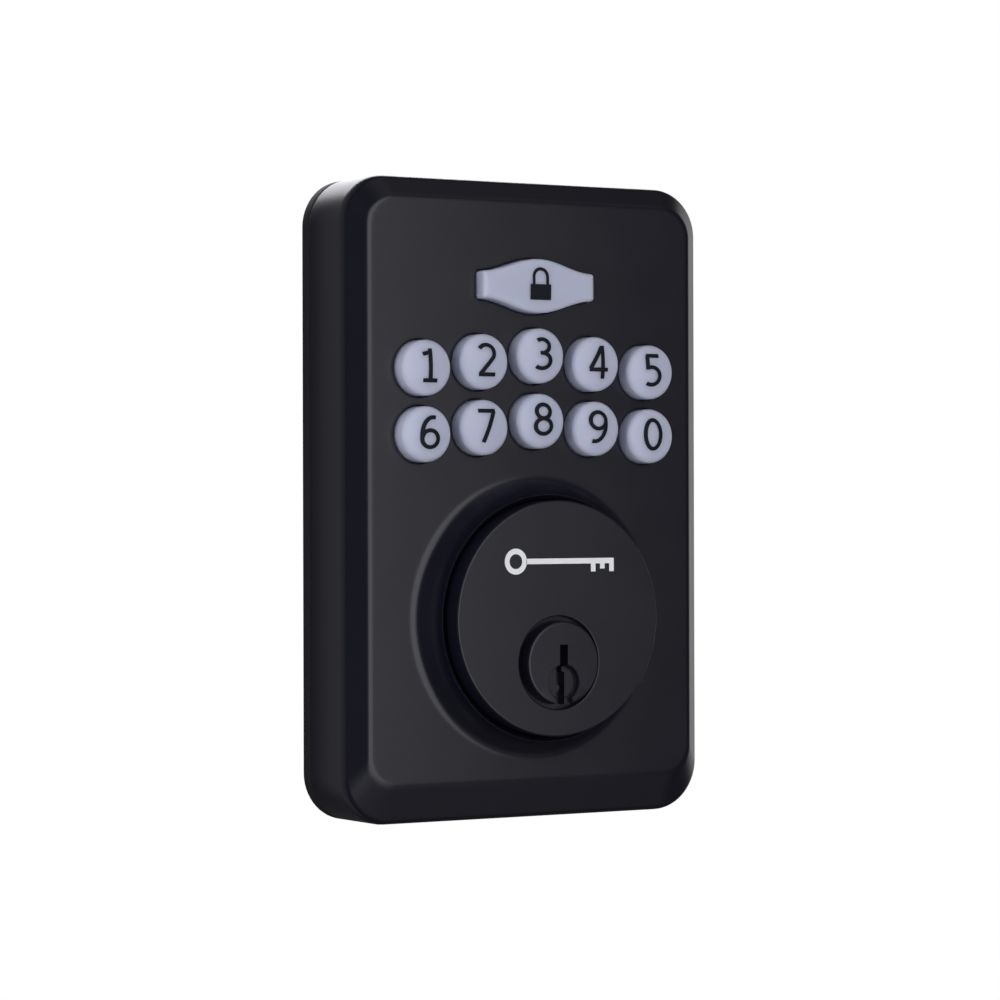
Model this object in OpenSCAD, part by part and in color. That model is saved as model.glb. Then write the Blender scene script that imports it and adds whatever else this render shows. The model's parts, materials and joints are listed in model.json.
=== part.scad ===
/* [Body] */
// Width of the escutcheon
body_w = 65.2; // [65:0.2:72]
// Height of the escutcheon
body_h = 100; // [99:0.5:106]
// Height of the body's middle above the cylinder bore
body_up = 18.45; // [17.95:0.05:18.95]
// Distance from the door to the front face
body_d = 15.8; // [15.6:0.1:17]
// Radius of the body's upright corners
corner_r = 7.5; // [6.5:0.1:8.5]
// Radius of the front face's corners
face_corner_r = 4.75; // [4:0.05:5.5]
// Width of the chamfer on the left and right
side_chamfer = 3.1; // [2.6:0.1:3.6]
// Width of the chamfer along the top
top_chamfer = 3.35; // [2.8:0.05:3.8]
// Width of the chamfer along the bottom
bottom_chamfer = 6.1; // [5:0.1:6.6]
// Depth of the chamfer, the same all round
chamfer_d = 2.7; // [2.2:0.1:3]
// Thickness of the casting
wall = 2.2; // [1.8:0.1:2.4]
// Thickness of the casting along the bottom, under the wide chamfer
sill = 4.4; // [4:0.1:4.8]
// Thickness of the back cover
cover_t = 2.4; // [2:0.1:2.6]
// Open joint between the back cover and the casting
joint_gap = 0.2; // [0.1:0.05:0.3]

/* [Keypad] */
// Diameter of a number key
key_dia = 8.6; // [8:0.1:9]
// Distance between the columns
key_pitch = 10.3; // [10.2:0.05:10.5]
// Distance between the two rows
row_pitch = 10.2; // [10.1:0.05:10.4]
// Rise of a row from one column to the next, towards the middle
row_rise = 1.1; // [0:0.05:1.2]
// Height of the outer keys of the upper row
upper_row = 38.7; // [38.4:0.1:39]
// Height of a key's straight side above the face
key_side = 2; // [1.4:0.1:2.4]
// Height of a key's dome above its side
key_dome = 1.2; // [0.6:0.1:1.4]
// How far a key travels when it is pressed
key_travel = 1.1; // [0.8:0.05:1.2]
// Gap round each key
key_gap = 0.15; // [0.1:0.01:0.25]
// Length of the lock key
lock_len = 20.4; // [18:0.2:22]
// Height of the lock key in its middle
lock_mid = 8.5; // [7.5:0.1:9]
// Height of the lock key at its ends
lock_end = 4.3; // [3:0.1:6]
// How far the lock key stands out of the face
lock_proud = 2.4; // [2:0.1:3]
// Height of the lock key's middle
lock_up = 51.85; // [51.5:0.05:52.2]

/* [Cylinder] */
// Diameter of the collar
collar_dia = 36; // [35:0.2:37]
// Distance from the door to the collar's flat face
collar_d = 23.2; // [22.6:0.1:24]
// Radius where the slope of the ring round the collar meets the face
ring_slope_r = 21.65; // [21.45:0.05:22.3]
// Distance from the door to the ring's lip
ring_d = 20.2; // [19.8:0.1:21.4]
// Diameter of the plug
plug_dia = 12.7; // [12.4:0.1:12.8]
// Distance of the plug's axis below the bore's axis
plug_drop = 6.86; // [6.6:0.02:7]
// How far the plug stands out of the collar
plug_proud = 1.4; // [0.6:0.1:1.6]
// Distance between neighbouring pins
pin_pitch = 3.81; // [3.6:0.01:3.97]
// Diameter of a pin
pin_dia = 2.92; // [2.8:0.01:2.95]
// Running clearance between parts that turn or slide
fit = 0.05; // [0.03:0.01:0.06]
// Width of the keyway
keyway_w = 1.45; // [1.3:0.05:1.6]

/* [Mounting] */
// Distance between the two through-bolts
bolt_spacing = 35; // [34.6:0.1:35.4]
// Diameter of the tapped holes for the through-bolts
bolt_hole = 4.2; // [3.8:0.1:4.4]
// Length of the threaded posts behind the door face
post_reach = 9; // [6:0.5:12]
// Diameter of the opening in the back cover
cover_hole = 47; // [45.5:0.5:49]
// Width of the tailpiece
tail_w = 7.6; // [6.4:0.1:7.8]
// Thickness of the tailpiece
tail_t = 1.9; // [1.6:0.1:2]
// Distance from the door face to the tailpiece's tip
tail_reach = 44; // [30:1:70]

/* [Hidden] */
$fn = 64;
cut = 0.5; // how far a cutter runs past the face it opens

black_metal = "#2a2a2e";
black_plastic = "#1c1c1f";
rubber = "#141416";
key_plastic = "#aeb0ba";
silicone = "#d4d6dc";
board_green = "#1f5a38";
chip_black = "#222226";
steel = "#b9bcc0";
brass = "#b89a52";

// The body's outline, seen from the front. Every piece is drawn with X to the right, Y up and Z out
// of the door, and on_door() then stands it up.
body_bottom = body_up - body_h / 2;
body_top = body_up + body_h / 2;
body_side = body_w / 2;
inner_d = body_d - wall;
rim_d = cover_t + joint_gap;
shoulder_d = body_d - chamfer_d;

// Keys
key_r = key_dia / 2;
key_flange_r = key_r + 0.6;
key_flange_t = 0.8;
key_flange_d = inner_d - key_gap;
key_stem_r = 2.2;
key_top_d = body_d + key_side + key_dome;
dome_sphere_r = (key_r * key_r + key_dome * key_dome) / (2 * key_dome);
lock_crown = 0.35;
lock_steps = 24;

// Board and mat, from the keys inwards
mat_top_d = 11.5;
mat_web = 1;
board_front_d = 8.2;
board_t = 1.6;
board_back_d = board_front_d - board_t;
board_side = 29.8;
board_bottom = 22;
board_top = 65;
board_round = 3.5;
board_posts = [for (x = [-28, 28], y = [24.6, 60]) [x, y]];
board_post_r = 2;
board_screw_r = 0.9;
board_screw_len = 5;
mat_side = 25.4;
mat_bottom = 22.8;
mat_top = 57.2;
led = [1.6, 0.8];
led_t = 0.6;
led_gap = 0.2;
dome_base_r = 4;
dome_top_r = 2.6;
dome_wall = 0.55;

// Back cover and its screws
cover_posts = [[-24.5, -23.5], [24.5, -23.5], [-20, 61], [20, 61]];
cover_post_r = 2.6;
cover_screw_r = 1.4;
cover_screw_tip = 8.5;
cover_head_r = 2.8;
cover_head_t = 1.6;
screw_play = 0.2; // radial play of a screw in its plain hole
pilot_spare = 0.5; // how much deeper a pilot hole is than its screw
gasket_in = 1.6;
gasket_w = 2;
gasket_t = 1.2;
lip_gap = 0.2;
lip_w = 1.2;
lip_d = 1.4;

// Cylinder
collar_r = collar_dia / 2;
collar_gap = 0.15;
collar_hole_r = collar_r + collar_gap;
collar_t = 4;
collar_edge = 0.3;
ring_lip = 0.3;
ring_fillet = 0.85;
skirt_r = collar_r - 2.2;
flange_r = 21;
flange_front = inner_d - 0.7;
flange_back = 9.9;
ear_x = 24.8;
ear_r = 3.4;
ear_t = 2.4;
ear_screw_r = 1.4;
ear_screw_len = 6;
plug_r = plug_dia / 2;
bore_r = plug_r + fit;
barrel_r = bore_r + 2.2;
barrel_back = -5;
head_r = plug_r + 0.25;
head_hole_r = head_r + 0.65;
head_back = collar_d - 1.3;
head_edge = 0.4;
plug_front = collar_d + plug_proud;
tower_x = 4.2;
tower_top = 9.3;
rib_y = 2;
rib_back = 2;
post_r = 3.6;
bolt_thread_end = 9;

// Pins: a key pin stands with its top just inside the shear line and its driver just outside it
pin_r = pin_dia / 2;
chamber_r = pin_r + fit;
first_pin_d = 17.7;
pin_shy = 0.2;
key_pin_top = plug_r - pin_shy - plug_drop;
driver_foot = bore_r + 0.02 - plug_drop;
driver_len = 4.8;
bitting = [1, 4, 2, 5, 3]; // cut depths of the key
key_pin_lens = [for (step = bitting) 3.5 + 0.42 * step];
pin_tip = 0.9;
chamber_floor = -8.3;
strip_t = 1;
strip_x = 2.2;
strip_back = 0.4;
strip_len = 18.8;
chamber_roof = tower_top - strip_t;
spring_wire = 0.17;
spring_turns = 5;

// Keyway
keyway_top = -4;
keyway_back = -2;
pocket_r = 2.75;
pocket_y = -9.85;
pocket_deep = 1.1;
mouth_w = 2.9;
mouth_y = -12.3;
mouth_deep = 1.1;
ward = 1; // side of the square that each ward fills
right_ward = [0.2, -8.3];
left_ward = [-1.2, -11.2];

// Tail cap and tailpiece
thread_r = plug_r - 0.35;
thread_back = -7.5;
cap_r = 8;
cap_front = barrel_back - 0.15;
cavity_r = 5.5;
cavity_back = -9.1;
cap_back = -10.9;
cap_pin_r = 0.6;
cap_pin_d = -6.3;
tail_head_w = 10.4;
tail_head_t = 1.3;
tail_front = thread_back - 0.1;
tail_swing = 45; // degrees each way before the cap carries the blade round
tail_clear = 0.1;

// Stands a piece up on the door: X stays, Y becomes height and Z points out of the door
module on_door() {
    rotate([90, 0, 0]) children();
}

// A slab of a flat outline between two distances from the door
module slab(near, far) {
    translate([0, 0, near]) linear_extrude(far - near) children();
}

// A post or hole along the outward direction
module rod(r, near, far) {
    translate([0, 0, near]) cylinder(h = far - near, r = r);
}

// A disc whose front edge is rounded
module rounded_disc(r, edge, near, far) {
    rotate_extrude() polygon(concat(
        [[0, near], [r, near]],
        [for (a = [0:15:90]) [r - edge + edge * cos(a), far - edge + edge * sin(a)]],
        [[0, far]]
    ));
}

// Rectangle with round corners from its four sides
module round_box(left, right, bottom, top, r) {
    translate([left + r, bottom]) square([right - left - 2 * r, top - bottom]);
    translate([left, bottom + r]) square([right - left, top - bottom - 2 * r]);
    for (x = [left + r, right - r], y = [bottom + r, top - r])
        translate([x, y]) circle(r);
}

// The body's outline moved in on its sides and top by one amount, and at the bottom by another
module outline(inset, bottom_inset, r) {
    round_box(
        -body_side + inset, body_side - inset,
        body_bottom + bottom_inset, body_top - inset, r
    );
}

module face_outline() {
    round_box(
        -body_side + side_chamfer, body_side - side_chamfer,
        body_bottom + bottom_chamfer, body_top - top_chamfer, face_corner_r
    );
}

// Where the number keys stand: 1 to 5 in the upper row, 6 to 9 and 0 in the lower row
function key_place(n) =
    let (slot = (n + 9) % 10, column = slot % 5 - 2, row = floor(slot / 5))
    [column * key_pitch, upper_row - row * row_pitch + row_rise * (2 - abs(column))];

key_places = [for (n = [1:10]) key_place(n % 10)];

// The lock key's outline: high in the middle, falling in an S curve to its short upright ends
function lock_half(x) = (lock_end + (lock_mid - lock_end) * (1 + cos(360 * x / lock_len)) / 2) / 2;

function lock_edge(grow) = [
    for (i = [0:lock_steps])
        let (x = lock_len * (i / lock_steps - 0.5))
        [x * (1 + 2 * grow / lock_len), lock_half(x) + grow]
];

module lock_outline(grow = 0) {
    edge = lock_edge(grow);
    last = len(edge) - 1;
    polygon(concat(edge, [for (i = [0:last]) [edge[last - i].x, -edge[last - i].y]]));
}

// Cutter for the cross recess in a screw head of radius r, centred on the surface at z
module cross_recess(r, z) {
    for (a = [0, 90]) rotate(a) translate([0, 0, z]) cube([1.1 * r, 0.28 * r, 2], center = true);
}

// A screw with a cross recess, its head on the door side of the surface at z
module pan_screw(z, r, length, head_r, head_t) {
    difference() {
        union() {
            rod(r, z, z + length);
            rod(head_r, z - head_t, z);
        }
        cross_recess(head_r, z - head_t);
    }
}

module shell_solid() {
    slab(rim_d, shoulder_d) outline(0, 0, corner_r);
    hull() {
        slab(shoulder_d - 0.01, shoulder_d) outline(0, 0, corner_r);
        slab(body_d - 0.01, body_d) face_outline();
    }
}

// Points of a smooth bend that leaves a towards b and reaches c coming from b
function bend(a, b, c, steps) = [
    for (i = [0:steps]) let (t = i / steps) (1 - t) * (1 - t) * a + 2 * t * (1 - t) * b + t * t * c
];

// Height of the ring's 45 degree slope at a radius
function slope_d(r) = body_d + ring_slope_r - r;

// Ring round the collar: a hollow curve from the face up to a thin lip, bevelled towards the bore
module collar_ring() {
    lip_r = collar_hole_r + ring_lip;
    slope_foot = ring_slope_r - ring_fillet * cos(45);
    rotate_extrude() polygon(concat(
        [[skirt_r, inner_d], [ring_slope_r + ring_fillet, inner_d]],
        bend(
            [ring_slope_r + ring_fillet, body_d], [ring_slope_r, body_d],
            [slope_foot, slope_d(slope_foot)], 6
        ),
        bend([slope_foot, slope_d(slope_foot)], [lip_r, slope_d(lip_r)], [lip_r, ring_d], 10),
        [[collar_hole_r, ring_d - ring_lip], [skirt_r, ring_d - ring_lip]]
    ));
}

module escutcheon() {
    color(black_metal) on_door() difference() {
        union() {
            difference() {
                shell_solid();
                slab(rim_d - cut, inner_d) outline(wall, sill, corner_r - wall);
            }
            collar_ring();
            for (p = cover_posts) translate(p) rod(cover_post_r, cover_t, inner_d + cut);
            for (p = board_posts) translate(p) rod(board_post_r, board_front_d, inner_d + cut);
            for (s = [-1, 1]) translate([s * ear_x, 0]) rod(ear_r, flange_back, inner_d + cut);
        }
        rod(collar_hole_r, inner_d - cut, ring_d + cut);
        for (p = key_places) translate(p) rod(key_r + key_gap, inner_d - cut, body_d + cut);
        slab(inner_d - cut, body_d + cut) translate([0, lock_up]) lock_outline(key_gap);
        for (p = cover_posts) translate(p)
            rod(cover_screw_r, cover_t - cut, cover_screw_tip + pilot_spare);
        for (p = board_posts) translate(p)
            rod(board_screw_r, board_front_d - cut, board_back_d + board_screw_len + pilot_spare);
        for (s = [-1, 1]) translate([s * ear_x, 0])
            rod(ear_screw_r, flange_back - cut, flange_back - ear_t + ear_screw_len + pilot_spare);
    }
}

module back_cover() {
    color(black_plastic) on_door() difference() {
        union() {
            slab(0, cover_t) outline(0, 0, corner_r);
            slab(cover_t, cover_t + lip_d) difference() {
                outline(wall + lip_gap, sill + lip_gap, corner_r - wall - lip_gap);
                outline(wall + lip_gap + lip_w, sill + lip_gap + lip_w, corner_r - wall - lip_gap - lip_w);
            }
        }
        rod(cover_hole / 2, -cut, cover_t + cut);
        gasket_ring(-cut, gasket_t);
        for (p = cover_posts) translate(p) {
            rod(cover_screw_r + screw_play, -cut, cover_t + cut);
            cylinder(h = cover_head_t, r1 = cover_head_r, r2 = cover_screw_r);
        }
    }
}

module gasket_ring(near, far) {
    slab(near, far) difference() {
        outline(gasket_in, gasket_in, corner_r - gasket_in);
        outline(gasket_in + gasket_w, gasket_in + gasket_w, corner_r - gasket_in - gasket_w);
    }
}

module rear_gasket() {
    color(rubber) on_door() gasket_ring(0, gasket_t);
}

module cover_screws() {
    color(steel) on_door() for (p = cover_posts) translate(p) difference() {
        union() {
            cylinder(h = cover_head_t, r1 = cover_head_r, r2 = cover_screw_r);
            rod(cover_screw_r, cover_head_t - cut, cover_screw_tip);
        }
        cross_recess(cover_head_r, 0);
    }
}

// A number key: domed top, straight side through the face, flange and stem behind it
module number_key(n) {
    color(key_plastic) on_door() translate(key_place(n)) {
        intersection() {
            rod(key_r, key_flange_d - key_flange_t, key_top_d + cut);
            translate([0, 0, key_top_d - dome_sphere_r]) sphere(dome_sphere_r);
        }
        rod(key_flange_r, key_flange_d - key_flange_t, key_flange_d);
        rod(key_stem_r, mat_top_d + 0.1, key_flange_d);
    }
}

module lock_key() {
    color(key_plastic) on_door() translate([0, lock_up]) {
        slab(key_flange_d - key_flange_t, body_d + lock_proud - lock_crown) lock_outline();
        hull() {
            slab(body_d + lock_proud - lock_crown - 0.01, body_d + lock_proud - lock_crown) lock_outline();
            slab(body_d + lock_proud - 0.01, body_d + lock_proud) lock_outline(-lock_crown);
        }
        slab(key_flange_d - key_flange_t, key_flange_d)
            round_box(-lock_len / 2 - 0.8, lock_len / 2 + 0.8, -lock_mid / 2 - 0.6, lock_mid / 2 + 0.6, 1.5);
        rod(key_stem_r, mat_top_d + 0.1, key_flange_d);
    }
}

module dome() {
    height = mat_top_d - board_front_d;
    roof = height - dome_wall * 2;
    rotate_extrude() polygon([
        [0, height], [dome_top_r, height], [dome_base_r, mat_web], [dome_base_r, 0],
        [dome_base_r - dome_wall, 0], [dome_base_r - dome_wall, mat_web],
        [dome_top_r - dome_wall, roof], [0, roof]
    ]);
}

module dome_places() {
    for (p = concat(key_places, [[0, lock_up]])) translate(p) children();
}

led_places = concat(
    [for (p = key_places) p + [0, row_pitch / 2]],
    [[-6.5, lock_up], [6.5, lock_up]]
);

module key_mat() {
    color(silicone) on_door() {
        slab(board_front_d, board_front_d + mat_web) difference() {
            round_box(-mat_side, mat_side, mat_bottom, mat_top, 2);
            dome_places() circle(dome_base_r - 0.1);
            for (p = led_places) translate(p) square(led + [2 * led_gap, 2 * led_gap], center = true);
        }
        dome_places() translate([0, 0, board_front_d]) dome();
    }
}

module keypad_board() {
    color(board_green) on_door() slab(board_back_d, board_front_d) difference() {
        round_box(-board_side, board_side, board_bottom, board_top, board_round);
        for (p = cover_posts) translate(p) circle(cover_post_r + 2 * screw_play);
        for (p = board_posts) translate(p) circle(board_screw_r + screw_play);
    }
}

module board_screws() {
    color(steel) on_door() for (p = board_posts)
        translate(p) pan_screw(board_back_d, board_screw_r, board_screw_len, 1.7, 1.1);
}

module board_leds() {
    color("#e8e4b8") on_door() for (p = led_places)
        translate(p) slab(board_front_d, board_front_d + led_t) square(led, center = true);
}

// Square parts soldered to the back of the board: centre, size and thickness
module board_part(place, size, t) {
    slab(board_back_d - t, board_back_d) translate(place) square(size, center = true);
}

module board_chips() {
    color(chip_black) on_door() {
        board_part([-11, 42], [7, 7], 1);
        board_part([9, 45], [5, 6], 1.4);
        board_part([-1, 36], [3.2, 2.5], 0.8);
        board_part([18, 36], [4, 4], 1.8);
        for (i = [0:5], s = [-1, 1]) board_part([s * 5 + i * 1.9, 51.5 + s], [1, 0.6], 0.5);
        for (i = [0:4]) board_part([-20 + i * 2.2, 34], [1, 1.6], 0.6);
    }
}

module buzzer() {
    tall = 3.2;
    color(chip_black) on_door() translate([-20, 49]) difference() {
        rod(4.5, board_back_d - tall, board_back_d);
        rod(0.7, board_back_d - tall - cut, board_back_d - tall + 0.8);
    }
}

// Four-way socket at the board's lower edge, its mouth facing down to the cable opening
module cable_socket() {
    wide = 10;
    deep = 6;
    tall = 3.8;
    side = 0.7;
    contact = 0.5;
    contact_pitch = 2;
    color("#e4e0d4") on_door() {
        difference() {
            slab(board_back_d - tall, board_back_d)
                translate([-wide / 2, board_bottom]) square([wide, deep]);
            slab(board_back_d - tall + side, board_back_d - side)
                translate([side - wide / 2, board_bottom - cut]) square([wide - 2 * side, deep - 1 + cut]);
        }
        for (i = [-1.5:1.5])
            slab(board_back_d - (tall + contact) / 2, board_back_d - (tall - contact) / 2)
                translate([i * contact_pitch - contact / 2, board_bottom + 1]) square([contact, deep - 1.5]);
    }
}

module pin_rows() {
    for (i = [0:4]) translate([0, 0, first_pin_d - i * pin_pitch]) children();
}

// A round bar standing along Y, between two heights
module upright(r, foot, top) {
    translate([0, foot, 0]) rotate([-90, 0, 0]) cylinder(h = top - foot, r = r);
}

module ear_plate() {
    square([2 * ear_x, 2 * ear_r], center = true);
    for (s = [-1, 1]) translate([s * ear_x, 0]) circle(ear_r);
}

module cylinder_body() {
    color(black_metal) on_door() difference() {
        union() {
            rod(collar_r, collar_d - collar_t, collar_d - collar_edge);
            rounded_disc(collar_r, collar_edge, collar_d - collar_edge - cut, collar_d);
            difference() {
                union() {
                    rod(collar_r, flange_back, collar_d - collar_t);
                    rod(flange_r, flange_back, flange_front);
                }
                rod(skirt_r, flange_back - cut, collar_d - collar_t);
            }
            translate([0, -plug_drop]) rod(barrel_r, barrel_back, collar_d - collar_t);
            translate([-tower_x, -plug_drop, 0])
                cube([2 * tower_x, tower_top + plug_drop, collar_d - collar_t]);
            translate([-bolt_spacing / 2, -rib_y, rib_back])
                cube([bolt_spacing, 2 * rib_y, flange_front - rib_back]);
            translate([-skirt_r, -rib_y, flange_back])
                cube([2 * skirt_r, 2 * rib_y, collar_d - collar_t - flange_back]);
            for (s = [-1, 1]) translate([s * bolt_spacing / 2, 0]) rod(post_r, -post_reach, flange_front);
            slab(flange_back - ear_t, flange_back) ear_plate();
        }
        translate([0, -plug_drop]) {
            rod(bore_r, barrel_back - cut, collar_d + cut);
            rod(head_hole_r, head_back - 0.1, collar_d + cut);
            translate([0, 0, collar_d - 0.4]) cylinder(h = 0.8, r1 = head_hole_r, r2 = head_hole_r + 0.8);
        }
        pin_rows() upright(chamber_r, -1.5, tower_top + cut);
        translate([-strip_x, chamber_roof, strip_back]) cube([2 * strip_x, strip_t + cut, strip_len + 0.2]);
        for (s = [-1, 1]) {
            translate([s * bolt_spacing / 2, 0]) rod(bolt_hole / 2, -post_reach - cut, bolt_thread_end);
            translate([s * ear_x, 0])
                rod(ear_screw_r + screw_play, flange_back - ear_t - cut, flange_back + cut);
        }
    }
}

module cylinder_screws() {
    color(steel) on_door() for (s = [-1, 1])
        translate([s * ear_x, 0]) pan_screw(flange_back - ear_t, ear_screw_r, ear_screw_len, 2.7, 1.8);
}

module collar_seal() {
    color(rubber) on_door() difference() {
        rod(flange_r - 0.3, flange_front, inner_d);
        rod(collar_hole_r + 0.15, flange_front - cut, inner_d + cut);
    }
}

// The keyway as it runs through the plug, with one ward on each side
module keyway_shape() {
    difference() {
        translate([-keyway_w / 2, -plug_drop - plug_r - 1])
            square([keyway_w, plug_drop + plug_r + 1 + keyway_top]);
        translate(right_ward) square(ward);
        translate(left_ward) square(ward);
    }
}

module plug() {
    color(black_metal) on_door() difference() {
        translate([0, -plug_drop]) {
            rod(thread_r, thread_back, barrel_back);
            rod(plug_r, barrel_back - 0.1, head_back + cut);
            rounded_disc(head_r, head_edge, head_back, plug_front);
        }
        slab(keyway_back, plug_front + cut) keyway_shape();
        translate([0, pocket_y]) rod(pocket_r, plug_front - pocket_deep, plug_front + cut);
        translate([-mouth_w / 2, mouth_y - 3, plug_front - mouth_deep]) cube([mouth_w, 3, 2]);
        pin_rows() upright(chamber_r, chamber_floor, 1);
        translate([0, -plug_drop, cap_pin_d]) rotate([0, 90, 0]) rod(cap_pin_r, 4, cap_r);
    }
}

module key_pin(i) {
    length = key_pin_lens[i];
    color(brass) on_door() translate([0, key_pin_top, first_pin_d - i * pin_pitch]) rotate([90, 0, 0]) {
        cylinder(h = length - pin_tip, r = pin_r);
        translate([0, 0, length - pin_tip]) cylinder(h = pin_tip, r1 = pin_r, r2 = 0.5);
    }
}

module driver_pin(i) {
    color(steel) on_door() translate([0, 0, first_pin_d - i * pin_pitch])
        upright(pin_r, driver_foot, driver_foot + driver_len);
}

// Round wire wound about the Z axis, with flat ends
module coil(r, wire, turns, length) {
    steps = 12;
    sides = 6;
    last = turns * steps;
    rings = [for (i = [0:last], j = [0:sides - 1])
        let (a = 360 * i / steps, b = 360 * j / sides, reach = r + wire * cos(b))
        [reach * cos(a), reach * sin(a), wire * (1 + sin(b)) + (length - 2 * wire) * i / last]];
    walls = [for (i = [0:last - 1], j = [0:sides - 1])
        let (k = (j + 1) % sides)
        [i * sides + j, i * sides + k, (i + 1) * sides + k, (i + 1) * sides + j]];
    ends = [[for (j = [0:sides - 1]) sides - 1 - j], [for (j = [0:sides - 1]) last * sides + j]];
    polyhedron(rings, concat(walls, ends), convexity = 10);
}

module pin_spring(i) {
    foot = driver_foot + driver_len;
    color(steel) on_door() translate([0, foot, first_pin_d - i * pin_pitch]) rotate([-90, 0, 0])
        coil(pin_r - 0.3, spring_wire, spring_turns, chamber_roof - foot);
}

module pin_cover() {
    color(brass) on_door() translate([-strip_x, chamber_roof, strip_back])
        cube([2 * strip_x, strip_t, strip_len]);
}

// Bow-tie opening: the blade swings inside it before it meets the sides
module bow_tie() {
    half = tail_t / 2 + tail_clear;
    reach = norm([tail_w / 2, tail_t / 2]) + 2 * tail_clear;
    intersection() {
        circle(reach);
        union() {
            for (a = [-tail_swing, tail_swing]) rotate(a) square([2 * half, 3 * reach], center = true);
            for (s = [-1, 1]) polygon([
                [0, 0],
                s * [2 * reach * tan(tail_swing), 2 * reach],
                s * [-2 * reach * tan(tail_swing), 2 * reach]
            ]);
        }
    }
}

module tail_cap() {
    color(steel) on_door() difference() {
        translate([0, -plug_drop]) difference() {
            rod(cap_r, cap_back, cap_front);
            rod(thread_r, thread_back, cap_front + cut);
            rod(cavity_r, cavity_back, thread_back + cut);
            slab(cap_back - cut, cavity_back + cut) bow_tie();
        }
        translate([0, -plug_drop, cap_pin_d]) rotate([0, 90, 0]) rod(cap_pin_r, 4, cap_r + cut);
    }
}

module cap_pin() {
    color(steel) on_door() translate([0, -plug_drop, cap_pin_d])
        rotate([0, 90, 0]) rod(cap_pin_r, 4, cap_r - 0.2);
}

module tailpiece() {
    point = 2;
    color(steel) on_door() translate([0, -plug_drop]) {
        slab(tail_front - tail_head_t, tail_front) square([tail_t, tail_head_w], center = true);
        slab(-tail_reach + point, tail_front) square([tail_t, tail_w], center = true);
        rotate([0, -90, 0]) translate([0, 0, -tail_t / 2]) linear_extrude(tail_t) polygon([
            [-tail_reach + point, -tail_w / 2], [-tail_reach, -tail_w / 2 + point],
            [-tail_reach, tail_w / 2 - point], [-tail_reach + point, tail_w / 2]
        ]);
    }
}

escutcheon();
back_cover();
rear_gasket();
cover_screws();
number_key(1);  // key_1
number_key(2);  // key_2
number_key(3);  // key_3
number_key(4);  // key_4
number_key(5);  // key_5
number_key(6);  // key_6
number_key(7);  // key_7
number_key(8);  // key_8
number_key(9);  // key_9
number_key(0);  // key_0
lock_key();
key_mat();
keypad_board();
board_screws();
board_leds();
board_chips();
buzzer();
cable_socket();
cylinder_body();
cylinder_screws();
collar_seal();
plug();
key_pin(0);  // key_pin_1
key_pin(1);  // key_pin_2
key_pin(2);  // key_pin_3
key_pin(3);  // key_pin_4
key_pin(4);  // key_pin_5
driver_pin(0);  // driver_pin_1
driver_pin(1);  // driver_pin_2
driver_pin(2);  // driver_pin_3
driver_pin(3);  // driver_pin_4
driver_pin(4);  // driver_pin_5
pin_spring(0);  // pin_spring_1
pin_spring(1);  // pin_spring_2
pin_spring(2);  // pin_spring_3
pin_spring(3);  // pin_spring_4
pin_spring(4);  // pin_spring_5
pin_cover();
tail_cap();
cap_pin();
tailpiece();
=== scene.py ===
import json
import math

import bmesh
import bpy
from mathutils import Matrix, Vector
from mathutils.geometry import delaunay_2d_cdt


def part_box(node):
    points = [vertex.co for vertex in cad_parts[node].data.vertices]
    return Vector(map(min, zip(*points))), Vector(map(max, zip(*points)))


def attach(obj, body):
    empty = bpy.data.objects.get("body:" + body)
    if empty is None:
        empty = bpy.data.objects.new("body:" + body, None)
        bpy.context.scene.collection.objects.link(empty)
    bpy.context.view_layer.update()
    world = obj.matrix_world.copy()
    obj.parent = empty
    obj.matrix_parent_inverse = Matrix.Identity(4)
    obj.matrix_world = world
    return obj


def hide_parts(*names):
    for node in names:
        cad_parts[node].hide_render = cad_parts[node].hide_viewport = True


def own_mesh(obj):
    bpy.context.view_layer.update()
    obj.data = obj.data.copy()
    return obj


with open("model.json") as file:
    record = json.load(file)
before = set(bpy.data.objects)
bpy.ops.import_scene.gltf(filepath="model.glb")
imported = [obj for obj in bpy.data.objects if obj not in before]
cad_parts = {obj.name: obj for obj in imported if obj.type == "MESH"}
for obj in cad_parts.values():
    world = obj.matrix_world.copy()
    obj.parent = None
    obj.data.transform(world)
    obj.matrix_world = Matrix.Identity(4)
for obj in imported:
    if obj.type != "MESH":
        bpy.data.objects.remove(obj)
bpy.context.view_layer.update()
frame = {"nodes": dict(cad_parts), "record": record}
print("frame loaded:", len(frame["nodes"]), "nodes")

# Shapes are drawn in millimetres. A point is (x to the right, z up, d out from the door), and the
# door stands in the X Z plane with the room in front of it at -Y.
perMm = 0.001


def point(x, z, d):
    return Vector((x, -d, z))


def nodeBox(node):
    low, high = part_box(node)
    return low / perMm, high / perMm


def nodeMiddle(node):
    low, high = nodeBox(node)
    return (low.x + high.x) / 2, (low.z + high.z) / 2


def nodeFront(node):
    return -nodeBox(node)[0].y


def nodeBack(node):
    return -nodeBox(node)[1].y


# Camera, backdrop and lights
studio = {
    "cameraPlace": (-0.2907, -0.4802, 0.0174),
    "cameraTurn": 31.498,
    "cameraTilt": 0.105,
    "cameraRoll": -0.157,
    "lens": 125.8,
    "aim": (0.0, 0.0, 0.018),
    "backdrop": (1.0, 1.0, 1.0),
    "fill": 0.06,
    "lightColour": (0.96, 0.965, 1.0),
}


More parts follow.
